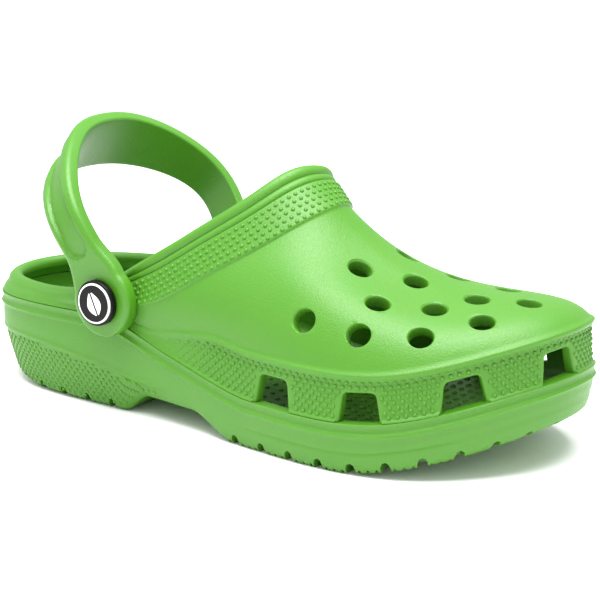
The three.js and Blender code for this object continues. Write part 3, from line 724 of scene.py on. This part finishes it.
# Lower edge of the cuff band. The third value is its rise from the heel rim (0) to CUFF_TOP (1).
CUFF = [
    (-0.492, -0.12, 0), (-0.442, -0.275, 0), (-0.325, -0.345, 0), (-0.194, -0.376, 0),
    (-0.104, -0.4, 0.23), (-0.018, -0.363, 0.56), (0.053, -0.297, 0.75), (0.103, -0.195, 0.91),
    (0.124, -0.09, 0.98), (0.127, 0.005, 0.99), (0.118, 0.09, 0.96), (0.092, 0.18, 0.86),
    (0.045, 0.27, 0.69), (-0.01, 0.34, 0.5), (-0.075, 0.385, 0.28), (-0.15, 0.39, 0.07),
    (-0.25, 0.36, 0), (-0.36, 0.338, 0), (-0.452, 0.255, 0), (-0.495, 0.075, 0),
]
band_inset = level_curve([(-0.5, 2), (-0.1, 2.5), (0.05, 4), (0.35, 4), (0.5, 2.6)])


def rising_point(u, control, rim_lift, top):
    found = ring(control, u)
    plan = place(found[..., :2])
    rim = seam_height(plan[..., 0]) + rim_lift
    return at_height(plan, rim + (top - rim) * found[..., 2])


def collar_edge(u):
    return rising_point(u, COLLAR, RIM_HEIGHT, COLLAR_TOP)


def cuff_edge(u):
    return rising_point(u, CUFF, CUFF_RIM, CUFF_TOP)


def seam_point(u, inset=SEAM_INSET):
    plan = inset_outline(u, np.broadcast_to(inset, np.shape(u)))
    return at_height(plan, seam_height(plan[..., 0]) + FIT_GAP / 2)


def vamp_share(u):
    """0 round the heel and 1 where the vamp covers the foot."""
    return step_between(ring(CUFF, u)[..., 2], 0, FULL_VAMP_RISE)


def ridge_point(u):
    plan = inset_outline(u, band_inset(outline(u)[..., 0]))
    lift = RIDGE_RIM + (BAND_HEIGHT - RIDGE_RIM) * vamp_share(u)
    return at_height(plan, seam_height(plan[..., 0]) + lift)


# Degrees from the chord and shares of it, at the sides and at the toe.
VAMP_SHAPE = {"ridge_slope": (24, 34), "ridge_reach": (0.33, 0.2),
              "cuff_slope": (-12, 24), "cuff_reach": (0.33, 0.55)}


def vamp_point(u, t):
    """Vamp from its ridge (t 0) to the lower edge of the cuff (t 1)."""
    low, high = ridge_point(u), cuff_edge(u)
    chord = high - low
    flat = np.linalg.norm(chord[..., :2], axis=-1)
    full = np.linalg.norm(chord, axis=-1)
    into = chord[..., :2] / flat[..., None]
    slope = np.arctan2(chord[..., 2], flat)
    toe = step_between(low[..., 0], 0.2 * LENGTH, 0.46 * LENGTH)
    share = vamp_share(u)
    shape = {key: side + (front - side) * toe for key, (side, front) in VAMP_SHAPE.items()}

    def heading(turn, reach):
        angle = slope + np.radians(turn) * share
        return at_height(into * (np.cos(angle) * reach * full)[..., None], np.sin(angle) * reach * full)

    a = low + heading(shape["ridge_slope"], shape["ridge_reach"])
    b = high - heading(shape["cuff_slope"], shape["cuff_reach"])
    t = np.asarray(t)[..., None]
    return low * (1 - t) ** 3 + 3 * a * t * (1 - t) ** 2 + 3 * b * t * t * (1 - t) + high * t ** 3


def band_point(u, height):
    """Plain face of the side band at a height over the parting line."""
    low, high = seam_point(u), ridge_point(u)
    share = np.asarray(height) / (high[..., 2] - low[..., 2])
    return low + (high - low) * share[..., None]


def unit(v):
    return v / np.linalg.norm(v, axis=-1, keepdims=True)


SOFT_EDGE = 50  # degrees; gentler corners than this are shaded smooth
BAND_RECESS = 0.9
RIDGE_BEAD = 1.0
CUFF_RAISE = 0.8
CUFF_BAND = 0.6  # share of the cuff that the dotted band takes


def column_rows():
    """(kind, share) of each row of the outer face: band, vamp and cuff, closer where the shape turns."""
    band = [0, 0.012, 0.03, 0.06, 0.1, 0.16, 0.3, 0.45, 0.6, 0.72, 0.8, 0.86, 0.9, 0.935, 0.965, 0.985]
    vamp = [0, 0.008, 0.018, 0.03, 0.045, 0.065, 0.09]
    vamp += list(np.linspace(0.12, 0.96, 30)) + [0.975, 0.985, 0.993]
    cuff = [0, 0.012, 0.03, 0.06, 0.15, 0.25, 0.35, 0.45, 0.54, 0.575, 0.595, 0.61, 0.625, 0.64, 0.655,
            0.675, 0.7, 0.72, 0.74, 0.755, 0.77, 0.785, 0.8, 0.82, 0.845, 0.87, 0.9, 0.925, 0.945, 0.96,
            0.975, 0.985, 0.993, 0.998, 1]
    return [("band", t) for t in band] + [("vamp", t) for t in vamp] + [("cuff", t) for t in cuff]


def cuff_relief(share):
    """Height of the cuff's relief over the vamp, along its width from 0 to 1."""
    band = CUFF_RAISE * step_between(share, 0, 0.03) * (1 - step_between(share, CUFF_BAND, 0.63))
    thin = 0.95 * np.sqrt(np.clip(1 - ((share - 0.7) / 0.068) ** 2, 0, 1))
    thick = 1.5 * np.sqrt(np.clip(1 - ((share - 0.9) / 0.118) ** 2, 0, 1))
    thick = np.where(share > 0.9, 1.5, thick)
    return np.maximum.reduce([band, thin, thick]) - 0.15 * (share > 0.61)


def outer_face(u):
    rows = column_rows()
    low, ridge, cuff, edge = seam_point(u), ridge_point(u), cuff_edge(u), collar_edge(u)
    plain = []
    for kind, t in rows:
        if kind == "band":
            plain.append(low + (ridge - low) * t)
        elif kind == "vamp":
            plain.append(vamp_point(u, np.full(len(u), t)))
        else:
            plain.append(cuff + (edge - cuff) * t)
    plain = np.array(plain)
    share = vamp_share(u)
    round_it = np.roll(plain, -1, axis=1) - np.roll(plain, 1, axis=1)
    up_it = np.gradient(plain, axis=0)
    normal = unit(np.cross(round_it, up_it))
    rise = np.zeros(plain.shape[:2])
    for j, (kind, t) in enumerate(rows):
        if kind == "band":
            height = t * (ridge - low)[:, 2]
            below_ridge = (ridge - low)[:, 2] - height
            sunk = np.minimum(step_between(height, 0.5, 1.5), step_between(below_ridge, 1.1, 2.6))
            rise[j] = -BAND_RECESS * sunk * share
        from_ridge = np.linalg.norm(plain[j] - ridge, axis=1)
        if kind != "cuff":
            rise[j] += RIDGE_BEAD * np.exp(-(from_ridge / 1.3) ** 2) * share
        else:
            rise[j] += cuff_relief(np.array(t)) * step_between(share, 0.05, 0.5)
    return plain + normal * rise[..., None]


def through_rows(rows, count):
    """Smooth columns of count points through the given rows (Catmull-Rom)."""
    rows = np.concatenate([2 * rows[:1] - rows[1:2], rows, 2 * rows[-1:] - rows[-2:-1]])
    last = len(rows) - 3
    out = []
    for s in np.linspace(0, last, count):
        i = min(int(s), last - 1)
        f = s - i
        a, b, c, d = rows[i:i + 4]
        out.append(0.5 * (2 * b + (c - a) * f + (2 * a - 5 * b + 4 * c - d) * f ** 2
                          + (3 * b - a - 3 * c + d) * f ** 3))
    return np.array(out)


def inner_face(u, count):
    """Inner face of the upper, parting line first, set in by the wall from a coarse outer face."""
    wall = wall_thickness(outline(u)[:, 0])
    low, ridge, cuff, edge = seam_point(u), ridge_point(u), cuff_edge(u), collar_edge(u)
    coarse = [low, (low + ridge) / 2]
    coarse += [vamp_point(u, np.full(len(u), i / 6)) for i in range(7)]
    coarse += [(cuff + edge) / 2, edge]
    coarse = np.array(coarse)
    up_it = np.empty_like(coarse)
    up_it[1:-1] = coarse[2:] - coarse[:-2]
    up_it[0], up_it[-1] = coarse[1] - coarse[0], coarse[-1] - coarse[-2]
    spread = 5  # columns either side, so that the inner face stays as plain as its mould core
    round_it = np.roll(coarse, -spread, axis=1) - np.roll(coarse, spread, axis=1)
    normal = unit(np.cross(round_it, up_it))
    level = at_height(inward(u), 0)
    share = vamp_share(u)[:, None]
    into = level * (1 - share) - normal * share
    inner = coarse + into * wall[:, None]
    inner[0] = seam_point(u, SEAM_INSET + wall)
    return through_rows(inner, count)


def build_upper():
    u = SHARES
    outer = outer_face(u)
    inner = inner_face(u, 34)
    across = (inner[-1] - outer[-1])
    thickness = np.linalg.norm(across, axis=-1)
    across /= thickness[:, None]
    radius = thickness / 2

    def roll(column):
        """How far the rolled edge has turned in, by the distance from its top."""
        drop = np.concatenate([np.linalg.norm(np.diff(column, axis=0), axis=-1)[::-1].cumsum(axis=0)[::-1],
                               np.zeros((1, len(u)))])
        side = np.clip(radius - drop, 0, radius)
        return radius - np.sqrt(np.clip(radius ** 2 - side ** 2, 0, None))

    outer = outer + across * roll(outer)[..., None]
    extra = [inner[-1] + (inner[-2] - inner[-1]) * t for t in (0.04, 0.12, 0.25, 0.45, 0.7)]
    inner = np.concatenate([inner[:-1], np.array(extra[::-1]), inner[-1:]])
    inner = inner - across * roll(inner)[..., None]
    rings = list(outer) + list(inner[::-1][1:])
    points = [p for line in rings for p in line]
    faces = weave(len(rings), COLUMNS)
    last = (len(rings) - 1) * COLUMNS
    for k in range(COLUMNS):
        n = (k + 1) % COLUMNS
        faces.append((last + k, last + n, n, k))
    return solid("foam_upper", points, faces, SOFT_EDGE)


# Side vents: four-sided openings with rounded corners, from the parting line up.
VENT_COUNT = 7
VENT_FIRST = 207.5
VENT_PITCH = 42.6
VENT_HEIGHT = 11.5
VENT_FOOT = 19
VENT_REAR_SLOPE = 1.2
VENT_FRONT_SLOPE = 3.4
VENT_CORNER = 2.4
EDGE_ROUND = 0.8


def rounded_loop(corners, radii, steps=6):
    """Outline of a four-sided opening with rounded corners, as (along, up) pairs."""
    loop = []
    n = len(corners)
    for k, (corner, radius) in enumerate(zip(np.array(corners, float), radii)):
        before = unit(np.array(corners[k - 1], float) - corner)
        after = unit(np.array(corners[(k + 1) % n], float) - corner)
        half = math.acos(np.clip(before @ after, -1, 1)) / 2
        cut = radius / math.tan(half)
        start, end = corner + before * cut, corner + after * cut
        for i in range(steps + 1):
            t = i / steps
            loop.append(start * (1 - t) ** 2 + 2 * corner * t * (1 - t) + end * t * t)
    return np.array(loop)


def loop_outward(loop):
    run = np.roll(loop, -1, axis=0) - np.roll(loop, 1, axis=0)
    run = unit(run)
    return np.stack([run[:, 1], -run[:, 0]], axis=-1)


def vent_loop():
    half = VENT_FOOT / 2
    corners = [(-half, -4), (half, -4), (half - VENT_FRONT_SLOPE, VENT_HEIGHT),
               (VENT_REAR_SLOPE - half, VENT_HEIGHT)]
    return rounded_loop(corners, (0.5, 0.5, VENT_CORNER * 1.3, VENT_CORNER))


def opening_cutter(layers):
    """Closed cutter from loops of points, outermost first."""
    points = [point for layer in layers for point in layer]
    return solid("opening_cutter", points, capped(len(layers), len(layers[0])))


# Depth under the face and how far the cut is wider there, so that its edge comes out rounded.
EDGE_LAYERS = [(2.2, 2.1), (0, EDGE_ROUND), (-0.16, 0.5), (-0.42, 0.22), (-0.9, 0), (-11, 0)]


def vent_layers(middle):
    loop = vent_loop()
    away = loop_outward(loop)
    layers = []
    for depth, wider in EDGE_LAYERS:
        spot = loop + away * wider
        u = share_at_arc(middle + spot[:, 0])
        face = band_point(u, spot[:, 1]) - at_height(inward(u), 0) * (depth - BAND_RECESS)
        layers.append(face)
    return layers


# Middles of the round toe holes, seen from above, as shares of the length and the width.
TOE_HOLES = [
    (0.17, -0.414), (0.256, -0.406), (0.336, -0.338), (0.395, -0.191), (0.422, 0.011), (0.197, -0.168),
    (0.255, -0.283), (0.323, -0.195), (0.358, -0.063), (0.265, -0.078), (0.213, 0.079), (0.289, 0.112),
    (0.365, 0.129),
]
HOLE_DIAMETER = 9.8


def on_vamp(x, y):
    """Point and outward direction of the vamp over a place in plan."""
    u0, u1, t0, t1 = 0.15, 0.75, 0.0, 1.0
    for _ in range(5):
        u, t = np.meshgrid(np.linspace(u0, u1, 61), np.linspace(t0, t1, 41))
        found = vamp_point(u, t)
        miss = np.hypot(found[..., 0] - x, found[..., 1] - y)
        i, j = np.unravel_index(np.argmin(miss), miss.shape)
        du, dt = (u1 - u0) / 12, (t1 - t0) / 12
        u0, u1 = u[i, j] - du, u[i, j] + du
        t0, t1 = max(t[i, j] - dt, 0), min(t[i, j] + dt, 1)
    best_u, best_t = np.array(u[i, j]), np.array(np.clip(t[i, j], 0.002, 0.998))
    return found[i, j], surface_normal(vamp_point, best_u, best_t, 1e-3, 1e-3)


def hole_layers(x, y, segments=40):
    middle, out = on_vamp(x, y)
    side = unit(np.cross(out, (0.0, 0.0, 1.0)) + 1e-9)
    other = np.cross(out, side)
    angles = np.linspace(0, 2 * np.pi, segments, endpoint=False)
    layers = []
    for depth, wider in EDGE_LAYERS:
        radius = HOLE_DIAMETER / 2 + wider
        layers.append([middle + out * depth + (side * math.cos(a) + other * math.sin(a)) * radius
                       for a in angles])
    return layers


# Rivet holes, on the axis that the strap swings on.
swing = next(j for j in frame["record"]["behaviour"]["joints"] if j["name"] == "strap_swing")
PIVOT = np.array(swing["pos_m"]) * 1000
HEAD_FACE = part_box("rivet_head_medial")[1][1] * 1000
HEAD_THICKNESS = 3.2
STRAP_THICKNESS = 6.6
SHANK_DIAMETER = 8
SEAT_DIAMETER = 19
STRAP_OUTER = HEAD_FACE - HEAD_THICKNESS - FIT_GAP
STRAP_INNER = STRAP_OUTER - STRAP_THICKNESS
SEAT_FACE = STRAP_INNER - FIT_GAP
CAP_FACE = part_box("rivet_back_medial")[1][1] * 1000
BACK_DIAMETER = 16.5
BORE_RADIUS = SHANK_DIAMETER / 2 + 0.3
CAP_POCKET = BACK_DIAMETER / 2 + 1
TURNED_SEGMENTS = 48


def turned(side, profile, segments=TURNED_SEGMENTS):
    """Points and faces of a solid turned about the rivet's axis. Profile is (radius, distance out)."""
    points = []
    angles = np.linspace(0, 2 * np.pi, segments, endpoint=False)
    for radius, out in profile:
        for a in angles:
            points.append((PIVOT[0] + radius * math.cos(a), side * out, PIVOT[2] + radius * math.sin(a)))
    return points, capped(len(profile), segments)


def cut_upper(upper):
    openings = [vent_layers(VENT_FIRST + k * VENT_PITCH) for k in range(VENT_COUNT)]
    openings += [hole_layers(x * LENGTH, y * WIDTH) for x, y in TOE_HOLES]
    for layers in openings:
        upper = carve(upper, opening_cutter(layers), SOFT_EDGE)
    for side in (-1, 1):
        shank = turned(side, [(BORE_RADIUS, CAP_FACE - 8), (BORE_RADIUS, SEAT_FACE + 8)])
        upper = carve(upper, solid("shank_cutter", *shank), SOFT_EDGE)
        cap = turned(side, [(CAP_POCKET, CAP_FACE - 9), (CAP_POCKET, CAP_FACE + FIT_GAP)])
        upper = carve(upper, solid("cap_cutter", *cap), SOFT_EDGE)
    return upper


foam_upper = cut_upper(build_upper())
upper_foam = foam("foam_upper_green")
foam_upper.data.materials.clear()
foam_upper.data.materials.append(upper_foam)
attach(foam_upper, "clog")
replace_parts(foam_upper, "upper")

# ------------------------------------------------------------------ dots on the side band and cuff
# Staggered rows of round dots, raised by pits in the mould, between the beads of the side band and
# on the cuff's raised band.

DOT_DIAMETER = 1.9
DOT_HEIGHT = 0.65
BAND_DOT_PITCH = 3.5
BAND_DOT_ROW = 1.95
CUFF_DOT_PITCH = 3.3
CUFF_DOT_ROWS = 5


def band_face(u, height):
    return band_point(u, height) + at_height(inward(u), 0) * BAND_RECESS


def band_dots():
    places, outs = [], []
    middles = VENT_FIRST + VENT_PITCH * np.arange(VENT_COUNT)
    for row in range(9):
        arcs = np.arange(0, ARC_LENGTHS[-1] - 1, BAND_DOT_PITCH) + (row % 2) * BAND_DOT_PITCH / 2
        u = share_at_arc(arcs)
        height = 1.9 + row * BAND_DOT_ROW
        top = (ridge_point(u) - seam_point(u))[:, 2]
        from_vent = arcs[:, None] - middles[None, :]
        lean = height / VENT_HEIGHT
        in_vent = ((from_vent > -VENT_FOOT / 2 + VENT_REAR_SLOPE * lean - 1.9)
                   & (from_vent < VENT_FOOT / 2 - VENT_FRONT_SLOPE * lean + 1.9)
                   & (height < VENT_HEIGHT + 1.7)).any(axis=1)
        keep = (height < top - 2.2) & ~in_vent
        places.append(band_face(u[keep], np.full(keep.sum(), height)))
        outs.append(-at_height(inward(u[keep]), 0))
    return np.concatenate(places), np.concatenate(outs)


def cuff_face(u, share):
    low, high = cuff_edge(u), collar_edge(u)
    return low + (high - low) * np.asarray(share)[..., None]


def cuff_dots():
    u = np.linspace(SHARES[0], SHARES[0] + 1, 6001)
    line = cuff_face(u, np.full(len(u), 0.3))
    lengths = distances_along(line)
    places, outs = [], []
    for row in range(CUFF_DOT_ROWS):
        arcs = np.arange(0, lengths[-1] - 1, CUFF_DOT_PITCH) + (row % 2) * CUFF_DOT_PITCH / 2
        at = np.interp(arcs, lengths, u)
        share = np.full(len(at), 0.075 + row * 0.112)
        keep = vamp_share(at) > 0.25
        at, share = at[keep], share[keep]
        out = surface_normal(cuff_face, at, share, 1e-4, 1e-3)
        raise_by = CUFF_RAISE * step_between(vamp_share(at), 0.05, 0.5)
        places.append(cuff_face(at, share) + out * raise_by[:, None])
        outs.append(out)
    return np.concatenate(places), np.concatenate(outs)


pips("side_band_dots", *band_dots(), DOT_DIAMETER, DOT_HEIGHT, upper_foam)
pips("cuff_dots", *cuff_dots(), DOT_DIAMETER, DOT_HEIGHT, upper_foam)

# ------------------------------------------------------------------ strap seats
# Low round bosses on the wall of the upper, moulded with it, that hold each strap end off the band.


def strap_seat(side, name):
    radius = SEAT_DIAMETER / 2
    profile = [(BORE_RADIUS, SEAT_FACE - 3), (radius + 1.2, SEAT_FACE - 3),
               (radius + 0.5, SEAT_FACE - 0.8), (radius - 0.2, SEAT_FACE - 0.15), (radius - 0.6, SEAT_FACE),
               (BORE_RADIUS, SEAT_FACE)]
    points, faces = turned(side, profile)
    faces = faces[:-2]
    n = TURNED_SEGMENTS
    last = (len(profile) - 1) * n
    faces += [(k, (k + 1) % n, last + (k + 1) % n, last + k)[::-1] for k in range(n)]
    seat = solid(name, points, faces)
    seat.data.materials.append(upper_foam)
    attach(seat, "clog")


strap_seat(-1, "strap_seat_lateral")
strap_seat(1, "strap_seat_medial")

# ------------------------------------------------------------------ heel strap
# One loop of the same foam with a round eye at each end and a long sunk panel round its outside.
# The rivets go through the eyes, and it swings on them.

STRAP_REACH = 77
STRAP_WIDTH = 18.5
STRAP_CROWN_WIDTH = 27.5
STRAP_EYE = 31
STRAP_BULGE = 6
STRAP_SQUARENESS = 2.28
STRAP_LEAN = math.radians(18.7)
STRAP_SWEEP = math.radians(39)
STRAP_FLAT = 10.9
STRAP_FLARE = 25
STRAP_NECK = 0.85  # width beside the eye, as a share of the eye
OUTER_CORNER = 2.6
INNER_CORNER = 1.1
PANEL_START = 21
PANEL_HALF_WIDTH = 5.9
PANEL_DEPTH = 1.5


def strap_line():
    """Middle of the strap with its lean, from the tip of one eye over the crown to the other, at even
    steps: (distance from the first pivot, point, lean)."""
    half_span = STRAP_INNER + STRAP_THICKNESS / 2
    bend = STRAP_SWEEP / STRAP_REACH
    turn = np.linspace(-np.pi / 2, np.pi / 2, 4001)
    rise = np.clip(np.cos(turn), 0, 1) ** (2 / STRAP_SQUARENESS)
    loop = np.clip(rise * STRAP_REACH - STRAP_FLAT, 0, None) / (STRAP_REACH - STRAP_FLAT)
    out = np.clip(1 - loop ** STRAP_SQUARENESS, 0, None) ** (1 / STRAP_SQUARENESS) * np.sign(turn)
    bulge = STRAP_BULGE * np.clip(np.sin(np.pi * loop), 0, 1) ** 1.5
    lean = STRAP_LEAN + bend * rise * STRAP_REACH
    line = np.stack([PIVOT[0] - (math.cos(STRAP_LEAN) - np.cos(lean)) / bend, out * (half_span + bulge),
                     PIVOT[2] + (np.sin(lean) - math.sin(STRAP_LEAN)) / bend], axis=-1)
    return distances_along(line), line, lean


def strap_width(s):
    """Half width of the strap at a distance from the pivot, negative towards the tip."""
    eye = np.sqrt(np.clip((STRAP_EYE / 2) ** 2 - s ** 2, 0, None))
    flare = 1 - step_between(s, STRAP_EYE / 4, STRAP_FLARE)
    band = STRAP_WIDTH + (STRAP_CROWN_WIDTH - STRAP_WIDTH) * step_between(s, STRAP_FLARE, 1.35 * STRAP_REACH)
    band = (band + (STRAP_EYE * STRAP_NECK - band) * flare) / 2
    return np.where(s < 0, eye, np.maximum(eye, band))


def build_strap():
    length, line, lean = strap_line()
    total = length[-1]
    radius = STRAP_EYE / 2
    tip = -radius * np.cos(np.linspace(0.06, np.pi / 2, 16)[:-1])
    body = np.arange(0, total / 2 - 0.6, 1.15)
    half = np.concatenate([tip, body, [total / 2]])
    stations = np.concatenate([half, total - half[:-1][::-1]])
    near = np.clip(stations, 0, total)
    centre = np.stack([np.interp(near, length, line[:, k]) for k in range(3)], axis=-1)
    angle = np.interp(near, length, lean)
    down = -np.array([-math.sin(STRAP_LEAN), 0, math.cos(STRAP_LEAN)])
    beyond = np.maximum(-stations, stations - total)
    centre += np.clip(beyond, 0, None)[:, None] * down
    run = unit(np.gradient(centre, stations, axis=0))
    run[stations <= STRAP_FLAT - 2] = -down
    run[stations >= total - STRAP_FLAT + 2] = down
    across = np.stack([np.cos(angle), np.zeros(len(angle)), np.sin(angle)], axis=-1)
    out = unit(np.cross(across, run))
    from_pivot = np.minimum(stations, total - stations)
    width = strap_width(from_pivot)
    flat = np.linspace(-1, 1, 31)
    corner = np.linspace(0, np.pi / 2, 7)[1:-1]
    rows = []
    for k in range(len(stations)):
        w = width[k]
        c, d = min(OUTER_CORNER, w * 0.6), min(INNER_CORNER, w * 0.6)
        t = STRAP_THICKNESS / 2
        section = [(a * (w - c), t) for a in flat]
        section += [(w - c + c * math.sin(a), t - c + c * math.cos(a)) for a in corner]
        section += [(w, y) for y in np.linspace(t - c, d - t, 3)]
        section += [(w - d + d * math.cos(a), d - t - d * math.sin(a)) for a in corner]
        section += [(-a * (w - d), -t) for a in flat[::2]]
        section += [(-(w - d + d * math.sin(a)), d - t - d * math.cos(a)) for a in corner]
        section += [(-w, y) for y in np.linspace(d - t, t - c, 3)]
        section += [(-(w - c + c * math.cos(a)), t - c + c * math.sin(a)) for a in corner]
        along = from_pivot[k] - PANEL_START - PANEL_HALF_WIDTH
        for a, b in section:
            if b > t - 0.01:
                edge = (math.hypot(a, min(along, 0)) if along < 0 else abs(a)) - PANEL_HALF_WIDTH
                b -= PANEL_DEPTH * float(step_between(-edge, -0.2, 0.9))
                b += 0.25 * math.exp(-((edge - 0.7) / 0.6) ** 2)
            rows.append(centre[k] + across[k] * a + out[k] * b)
    n = len(rows) // len(stations)
    strap = solid("foam_heel_strap", rows, capped(len(stations), n), SOFT_EDGE)
    for side in (-1, 1):
        bore = turned(side, [(BORE_RADIUS, STRAP_INNER - 5), (BORE_RADIUS, STRAP_OUTER + 5)])
        strap = carve(strap, solid("strap_cutter", *bore), SOFT_EDGE)
    return strap


heel_strap = build_strap()
strap_foam = foam("foam_strap_green", gloss=0.4)
heel_strap.data.materials.clear()
heel_strap.data.materials.append(strap_foam)
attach(heel_strap, "strap")
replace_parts(heel_strap, "heel_strap")

# ------------------------------------------------------------------ rivets
# Black moulded snap rivets. Each is a head with a shank, pushed through the strap end and the wall,
# and a cap that snaps on to it inside the shoe. The badge is printed white on black, with a leaf.

HEAD_DIAMETER = 19.8
HEAD_RIM = 0.8
BADGE_THICKNESS = 0.9
BACK_THICKNESS = 3
RING_WIDTH = 0.85
RIM_ROUND = 0.7
CRISP_EDGE = 30
ROUND_SEGMENTS = 72
LEAF_SCALE = 1.5
LEAF_TILT = math.radians(24)
LEAF_THICKNESS = 0.16


def rivet_plastic(name, colour, gloss, grain):
    material, shader = skinned(name, colour, [c * 0.85 for c in colour], grain, gloss)
    shader.inputs["Specular IOR Level"].default_value = 0.15
    return material


black_plastic = rivet_plastic("rivet_black", (0.004, 0.004, 0.004), 0.34, 0.25)
badge_black = rivet_plastic("badge_black", (0.002, 0.002, 0.002), 0.2, 0.1)
badge_white = rivet_plastic("badge_white", (0.86, 0.86, 0.84), 0.3, 0.1)


def rivet_head(side, name, body):
    r = HEAD_DIAMETER / 2
    foot = STRAP_OUTER + FIT_GAP
    badge_floor = HEAD_FACE - BADGE_THICKNESS / 2 - FIT_GAP
    recess = r - HEAD_RIM
    tip = CAP_FACE - BACK_THICKNESS + 1 + FIT_GAP
    shank = SHANK_DIAMETER / 2
    rim = [(r - RIM_ROUND + RIM_ROUND * math.cos(a), HEAD_FACE - RIM_ROUND + RIM_ROUND * math.sin(a))
           for a in np.linspace(0, 1.45, 6)]
    profile = [(0.01, tip), (shank - 0.6, tip), (shank - 0.15, tip + 0.25), (shank, tip + 0.8), (shank, foot),
               (r - 0.4, foot), (r, foot + 0.4)] + rim
    profile += [(recess + 0.12, HEAD_FACE), (recess, HEAD_FACE - 0.12), (recess, badge_floor),
                (0.01, badge_floor)]
    head = solid(name, *turned(side, profile, ROUND_SEGMENTS), CRISP_EDGE)
    head.data.materials.append(black_plastic)
    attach(head, body)
    return head


def rivet_cap(side, name, body):
    r = BACK_DIAMETER / 2
    far = CAP_FACE - BACK_THICKNESS
    socket = SHANK_DIAMETER / 2 + FIT_GAP
    dome = [(r - 1.2 + 1.2 * math.sin(a), far + 1.2 - 1.2 * math.cos(a))
            for a in np.linspace(0, np.pi / 2, 7)]
    profile = [(0.01, far), (3.2, far), (3.6, far + 0.35), (4.2, far + 0.35), (4.6, far)] + dome
    profile += [(r, CAP_FACE - 0.3), (r - 0.3, CAP_FACE), (socket + 0.4, CAP_FACE), (socket, CAP_FACE - 0.4)]
    profile += [(socket, far + 1), (0.01, far + 1)]
    cap = solid(name, *turned(side, profile, 64), CRISP_EDGE)
    cap.data.materials.append(black_plastic)
    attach(cap, body)
    return cap


def leaf_outline():
    """A plain pointed leaf, before it is scaled, as (across, up) pairs."""
    shares = np.linspace(0, 1, 25)
    edge = [(2.7 * math.sin(t * math.pi) ** 0.9 * (1.15 - 0.5 * t), -3.8 + 7.6 * t) for t in shares]
    left = [(-a, b) for a, b in edge[1:-1]][::-1]
    return edge + left


def badge(side, name, body):
    r = HEAD_DIAMETER / 2 - HEAD_RIM - FIT_GAP
    foot = HEAD_FACE - BADGE_THICKNESS / 2
    face = foot + BADGE_THICKNESS
    inner = r - RING_WIDTH
    profile = [(0.01, foot), (r - 0.1, foot), (r, foot + 0.1), (r, face - 0.25), (r - 0.08, face - 0.08),
               (r - 0.25, face), (inner + 0.05, face), (inner, face - 0.08), (inner * 0.6, face - 0.05),
               (inner * 0.25, face - 0.03), (0.01, face - 0.03)]
    disc = solid(name, *turned(side, profile, ROUND_SEGMENTS), CRISP_EDGE)
    disc.data.materials.append(badge_black)
    disc.data.materials.append(badge_white)
    for face_of in disc.data.polygons:
        middle = np.array(face_of.center) * 1000
        out = math.hypot(middle[0] - PIVOT[0], middle[2] - PIVOT[2])
        if out > inner + 0.02 and side * middle[1] > foot + 0.3:
            face_of.material_index = 1
    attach(disc, body)
    return disc


def printed_leaf(side, name, body):
    face = HEAD_FACE + BADGE_THICKNESS / 2 - 0.06
    parts = []
    for half in (-1, 1):
        edge = [(a, b) for a, b in leaf_outline() if a * half > 0.4]
        edge = sorted(edge, key=lambda p: p[1])
        spine = [(half * 0.3, b) for _, b in edge]
        ring_points = edge + spine[::-1]
        layer = []
        for up in (0, LEAF_THICKNESS):
            for a, b in ring_points:
                x, z = a * LEAF_SCALE, b * LEAF_SCALE
                layer.append((PIVOT[0] + x * math.cos(LEAF_TILT) - z * math.sin(LEAF_TILT),
                              side * (face + up),
                              PIVOT[2] + x * math.sin(LEAF_TILT) + z * math.cos(LEAF_TILT)))
        n = len(ring_points)
        m = len(edge)
        faces = weave(2, n)
        for base in (0, n):
            faces += [(base + k, base + k + 1, base + n - 2 - k, base + n - 1 - k) for k in range(m - 1)]
        parts.append((layer, faces))
    for k, (layer, faces) in enumerate(parts):
        leaf = solid(f"{name}_{k}", layer, faces, CRISP_EDGE)
        work = bmesh.new()
        work.from_mesh(leaf.data)
        bmesh.ops.recalc_face_normals(work, faces=work.faces)
        work.to_mesh(leaf.data)
        work.free()
        leaf.data.materials.append(badge_white)
        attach(leaf, body)


for side, label in ((-1, "lateral"), (1, "medial")):
    body = f"rivet_{label}"
    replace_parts(rivet_head(side, f"snap_head_{label}", body), f"rivet_head_{label}")
    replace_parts(rivet_cap(side, f"snap_cap_{label}", body), f"rivet_back_{label}")
    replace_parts(badge(side, f"printed_badge_{label}", body), f"badge_{label}")
    printed_leaf(side, f"leaf_{label}", body)
